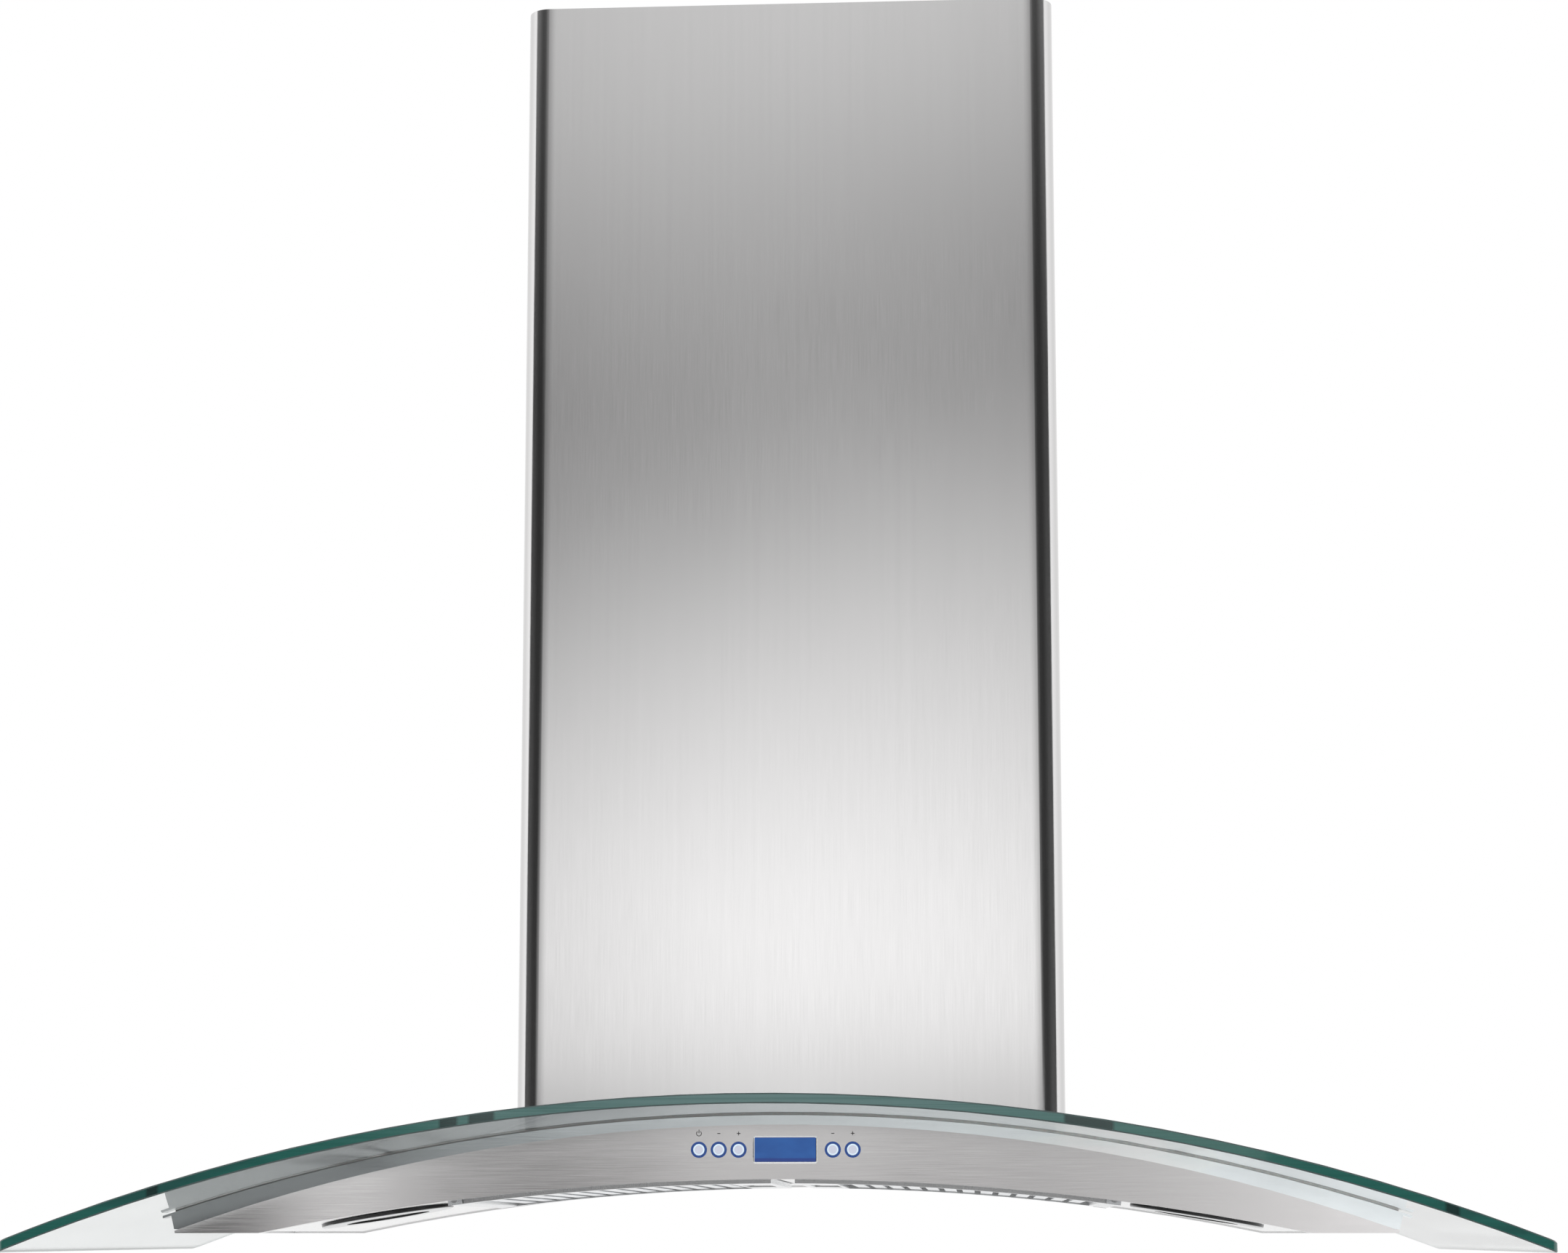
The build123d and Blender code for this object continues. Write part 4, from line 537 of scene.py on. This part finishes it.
def print_ink():
    paint = Paint("print_ink")
    speck = paint.noise(paint.texture_space, scale=2600.0)
    tone = paint.blend(paint.remap(speck, 0.0, 0.5, 0.4, 0.7), srgb(54, 50, 50),
                       srgb(82, 78, 78))
    return paint.finish(paint.shader(Base_Color=tone, Roughness=paint.remap(speck, 0.45, 0.6),
                                     Normal=paint.bump(speck, 0.1, 0.00005)))


ink = print_ink()
INK_RELIEF = 0.00006
INK_FACE = FASCIA_FACE - INK_RELIEF
MARK_HEIGHT = BODY_BOTTOM + 0.0610


def ink_bars(name, bars):
    """Flat printed strokes: each a middle, a half length, a half height, on the fascia's face."""
    points, faces = [], []
    for x, z, half_x, half_z in bars:
        loops = []
        for depth, shrink in ((INK_RELIEF, 0.0), (0.00002, 0.0), (0.0, 0.00003)):
            outline = rounded_outline(half_x - shrink, half_z - shrink,
                                      min(half_x, half_z) * 0.45, steps=2)
            loops.append([(x + a, INK_FACE + depth, z + b) for a, b in outline])
        made, sides = ring_strip(loops)
        start = len(points)
        points += made
        faces += [tuple(start + i for i in side) for side in sides]
        count = len(loops[0])
        faces.append(tuple(start + 2 * count + i for i in range(count)))
    return piece(name, points, faces, ink, "hood")


def minus_and_plus(name, left, right):
    """A minus over the left button of a pair and a plus over the right one."""
    stroke, arm = 0.00025, 0.0012
    ink_bars(name, [(left, MARK_HEIGHT, 0.0010, stroke), (right, MARK_HEIGHT, arm, stroke),
                    (right, MARK_HEIGHT, stroke, arm)])


minus_and_plus("marks_light", BUTTONS[1], BUTTONS[2])
minus_and_plus("marks_fan", BUTTONS[3], BUTTONS[4])


def power_glyph(x, z):
    """Open ring with a stroke through its gap."""
    outer, inner = 0.00175, 0.00128
    gap, steps = 34, 26       # degrees on each side of the top, and strips in the ring
    points, faces = [], []
    for k in range(steps + 1):
        a = math.radians(90 + gap + (360 - 2 * gap) * k / steps)
        for radius, depth in ((outer, INK_RELIEF), (outer, 0.0), (inner, 0.0),
                              (inner, INK_RELIEF)):
            points.append((x + radius * math.cos(a), INK_FACE + depth, z + radius * math.sin(a)))
    for k in range(steps):
        for side in range(3):
            a = 4 * k + side
            faces.append((a, a + 1, a + 5, a + 4))
    piece("mark_power_ring", points, faces, ink, "hood")
    ink_bars("mark_power_stroke", [(x, z + 0.0013, 0.00024, 0.0011)])


power_glyph(BUTTONS[0], MARK_HEIGHT)


def display_trim():
    """Polished lip round the display window."""
    low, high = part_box("display_window")
    half_x = (high[0] - low[0]) / 2 - DISPLAY_FLANGE
    half_z = (high[2] - low[2]) / 2 - DISPLAY_FLANGE
    cx, cz = (low[0] + high[0]) / 2, (low[2] + high[2]) / 2
    loops = []
    for grow, depth in ((0.00035, 0.0), (0.00030, 0.00045), (0.0001, 0.00065), (-0.00035, 0.00070),
                        (-0.0006, 0.00062)):
        outline = rounded_outline(half_x + grow, half_z + grow, 0.0011 + max(grow, -0.0004))
        loops.append([(cx + a, FASCIA_FACE - depth, cz + b) for a, b in outline])
    points, faces = ring_strip(loops)
    return piece("display_trim", points, faces, finishes["cap_chrome"], "hood")


display_trim()


# ---- floor, backdrop and light ------------------------------------------------------------
def stage_plane(name, corners, material):
    made = meshed(name, corners, [tuple(range(len(corners)))], material)
    return made


def seen_by_eye(paint):
    """One for rays that show a thing straight, mirrored or through glass; nought for light."""
    path = paint.node("ShaderNodeLightPath").outputs
    share = paint.maths("MAXIMUM", path["Is Camera Ray"], path["Is Glossy Ray"])
    return paint.maths("MAXIMUM", share, path["Is Transmission Ray"])


def floor_material():
    """Pale floor: its far part fades into the backdrop, and it is clear from beneath."""
    paint = Paint("studio_floor")
    mottle = paint.noise(paint.texture_space, scale=1.5)
    shade = paint.shader(Base_Color=grey(0.80), Roughness=0.9, Specular_IOR_Level=0.1)
    across = paint.split(paint.texture_space)
    squared = paint.maths("ADD", paint.maths("MULTIPLY", across[0], across[0]),
                          paint.maths("MULTIPLY", across[1], across[1]))
    away = paint.maths("SQRT", squared)
    glow = paint.maths("MULTIPLY", seen_by_eye(paint), paint.remap(mottle, 0.27, 0.29))
    straight = paint.node("ShaderNodeLightPath").outputs["Is Camera Ray"]
    fade = paint.remap(away, 0.0, 0.19, 1.5, 5.0, smooth=True)
    strength = paint.maths("ADD", glow, paint.maths("MULTIPLY", straight, fade))
    lift = paint.node("ShaderNodeEmission", {"Color": grey(1.0), "Strength": strength}).outputs[0]
    upper = paint.node("ShaderNodeAddShader", {0: shade, 1: lift}).outputs[0]
    beneath = paint.node("ShaderNodeBsdfTransparent").outputs[0]
    facing = paint.node("ShaderNodeNewGeometry").outputs["Backfacing"]
    return paint.finish(paint.node("ShaderNodeMixShader", {0: facing, 1: upper,
                                                           2: beneath}).outputs[0])


FLOOR = BODY_BOTTOM - 0.55
FLOOR_HALF = 40
stage_plane("studio_floor", [(x * FLOOR_HALF, y * FLOOR_HALF, FLOOR)
                             for x, y in ((-1, -1), (1, -1), (1, 1), (-1, 1))], floor_material())

# Tones of the cards that the metal mirrors: the panel's by height and by X, those across its
# foot, which the fascia mirrors, and the dark flags' by height.
PANEL_TONES = ((0.01, 0.72), (0.07, 1.03), (0.20, 1.21), (0.38, 1.19), (0.81, 0.86), (1.22, 0.44),
               (1.39, 0.35), (1.53, 0.37), (2.05, 0.68), (2.73, 0.8))
FOOT_TONES = ((-1.66, 0.0), (-1.20, 0.10), (-1.13, 0.78), (-1.01, 1.08), (-0.87, 0.42),
              (-0.68, 0.27), (-0.25, 0.74), (-0.02, 0.5), (0.36, 0.58), (0.83, 1.10), (1.08, 1.2))
SIDE_TONES = ((-1.66, 0.12), (-1.05, 0.5), (-0.66, 0.87), (-0.23, 1), (0.21, 0.96),
              (0.38, 0.76), (0.66, 0.36), (1.09, 0.16))
FLAG_TONES = ((-0.70, 0.10), (1.50, 0.055), (1.80, 0.09), (2.90, 0.28))


PANEL_STRENGTH = 1.25      # the tone at which the panel's ramps are full
PANEL_MIDDLE = -0.24       # the panel's tones tilt round this X
PANEL_LEAN = -0.19


def panel_material():
    """Light panel: tones by height, falling off to its sides, and another row at its foot."""
    paint = Paint("studio_panel")
    across = paint.split(paint.texture_space)
    sideways = paint.maths("ADD", across[0], -PANEL_MIDDLE)
    leaning = paint.maths("MULTIPLY", sideways, paint.remap(across[2], 0.0, PANEL_LEAN, 0.2, 1.0))
    settling = paint.maths("MULTIPLY", sideways, paint.remap(across[2], -0.05, 0.0, 0.03, 0.16))
    height = paint.maths("ADD", paint.maths("ADD", across[2], leaning), settling)
    sides = paint.blend(paint.remap(across[2], 0.0, 0.4, 1.3, 2.2),
                        ramp_of(paint, across[0], SIDE_TONES, 1.0), grey(1.0))
    upper = paint.blend(1.0, ramp_of(paint, height, PANEL_TONES, PANEL_STRENGTH), sides,
                        kind="MULTIPLY")
    foot = ramp_of(paint, across[0], FOOT_TONES, PANEL_STRENGTH)
    share = paint.remap(across[2], 0.0, 1.0, -0.03, 0.03, smooth=True)
    return paint.finish(paint.node("ShaderNodeEmission", {
        "Color": paint.blend(share, foot, upper), "Strength": PANEL_STRENGTH}).outputs[0])


def flag_material():
    """Dark card beside the panel, a little paler at its top."""
    paint = Paint("studio_flag")
    height = paint.split(paint.texture_space)[2]
    return paint.finish(paint.node("ShaderNodeEmission", {
        "Color": ramp_of(paint, height, FLAG_TONES, 1.0), "Strength": 1.0}).outputs[0])


# where the cards stand, in X and Y: the panel faces the hood, a flag turns in at each side
CARD_FOOT, CARD_HEAD = -0.7, 2.9
PANEL_LEFT, PANEL_RIGHT = (-1.75, -4.2), (1.15, -4.2)
FLAG_LEFT, FLAG_RIGHT = (-4.6, -1.1), (4.6, -1.1)


def studio_card(name, start, end, material):
    """Upright card that only mirrored rays meet."""
    corners = [(*start, CARD_FOOT), (*end, CARD_FOOT), (*end, CARD_HEAD), (*start, CARD_HEAD)]
    card = stage_plane(name, corners, material)
    card.visible_camera = False
    card.visible_diffuse = False
    card.visible_transmission = False
    card.visible_volume_scatter = False
    card.visible_shadow = False


studio_card("studio_panel", PANEL_LEFT, PANEL_RIGHT, panel_material())
felt = flag_material()
studio_card("studio_flag_left", FLAG_LEFT, PANEL_LEFT, felt)
studio_card("studio_flag_right", PANEL_RIGHT, FLAG_RIGHT, felt)


def soft_box(name, place, aim, size, power):
    """Soft lamp; the metal mirrors the cards instead of it."""
    light = bpy.data.lights.new(name, "AREA")
    light.shape = "RECTANGLE"
    light.size, light.size_y = size
    light.energy = power
    made = placed(name, light)
    made.location = place
    made.rotation_euler = (Vector(aim) - Vector(place)).to_track_quat("-Z", "Y").to_euler()
    made.visible_glossy = False


soft_box("key_light", (-1.8, -2.6, 2.2), (0, -0.2, 0.1), (1.6, 1.6), 42)
soft_box("fill_light", (2.4, -2.2, 0.9), (0, -0.2, 0.0), (1.4, 1.4), 16)


class Sky(Paint):
    """The world, built with the same helpers."""

    def __init__(self, name):
        self.world = bpy.data.worlds.new(name)
        self.world.use_nodes = True
        self.tree = self.world.node_tree
        self.tree.nodes.clear()


WORLD_LIGHT = 0.70         # what the world gives as light; seen by eye it is white
sky = Sky("studio")
level = sky.remap(seen_by_eye(sky), WORLD_LIGHT, 1.0)
glow = sky.node("ShaderNodeBackground", {"Color": grey(1.0), "Strength": level}).outputs[0]
sky.node("ShaderNodeOutputWorld", {"Surface": glow})
bpy.context.scene.world = sky.world

# ---- camera -------------------------------------------------------------------------------
camera_data = bpy.data.cameras.new("camera")
camera_data.lens = 73.292
camera_data.sensor_width = 36.0
camera_data.shift_y = 0.09
camera = placed("camera", camera_data)
camera.location = (0.121, -2.330, -0.230)
TILT, TURN = 8.2965, 3.4234      # degrees upwards from level, and to the left
camera.rotation_euler = (math.radians(90 + TILT), 0, math.radians(TURN))
bpy.context.scene.camera = camera
bpy.context.scene.view_settings.view_transform = "Standard"
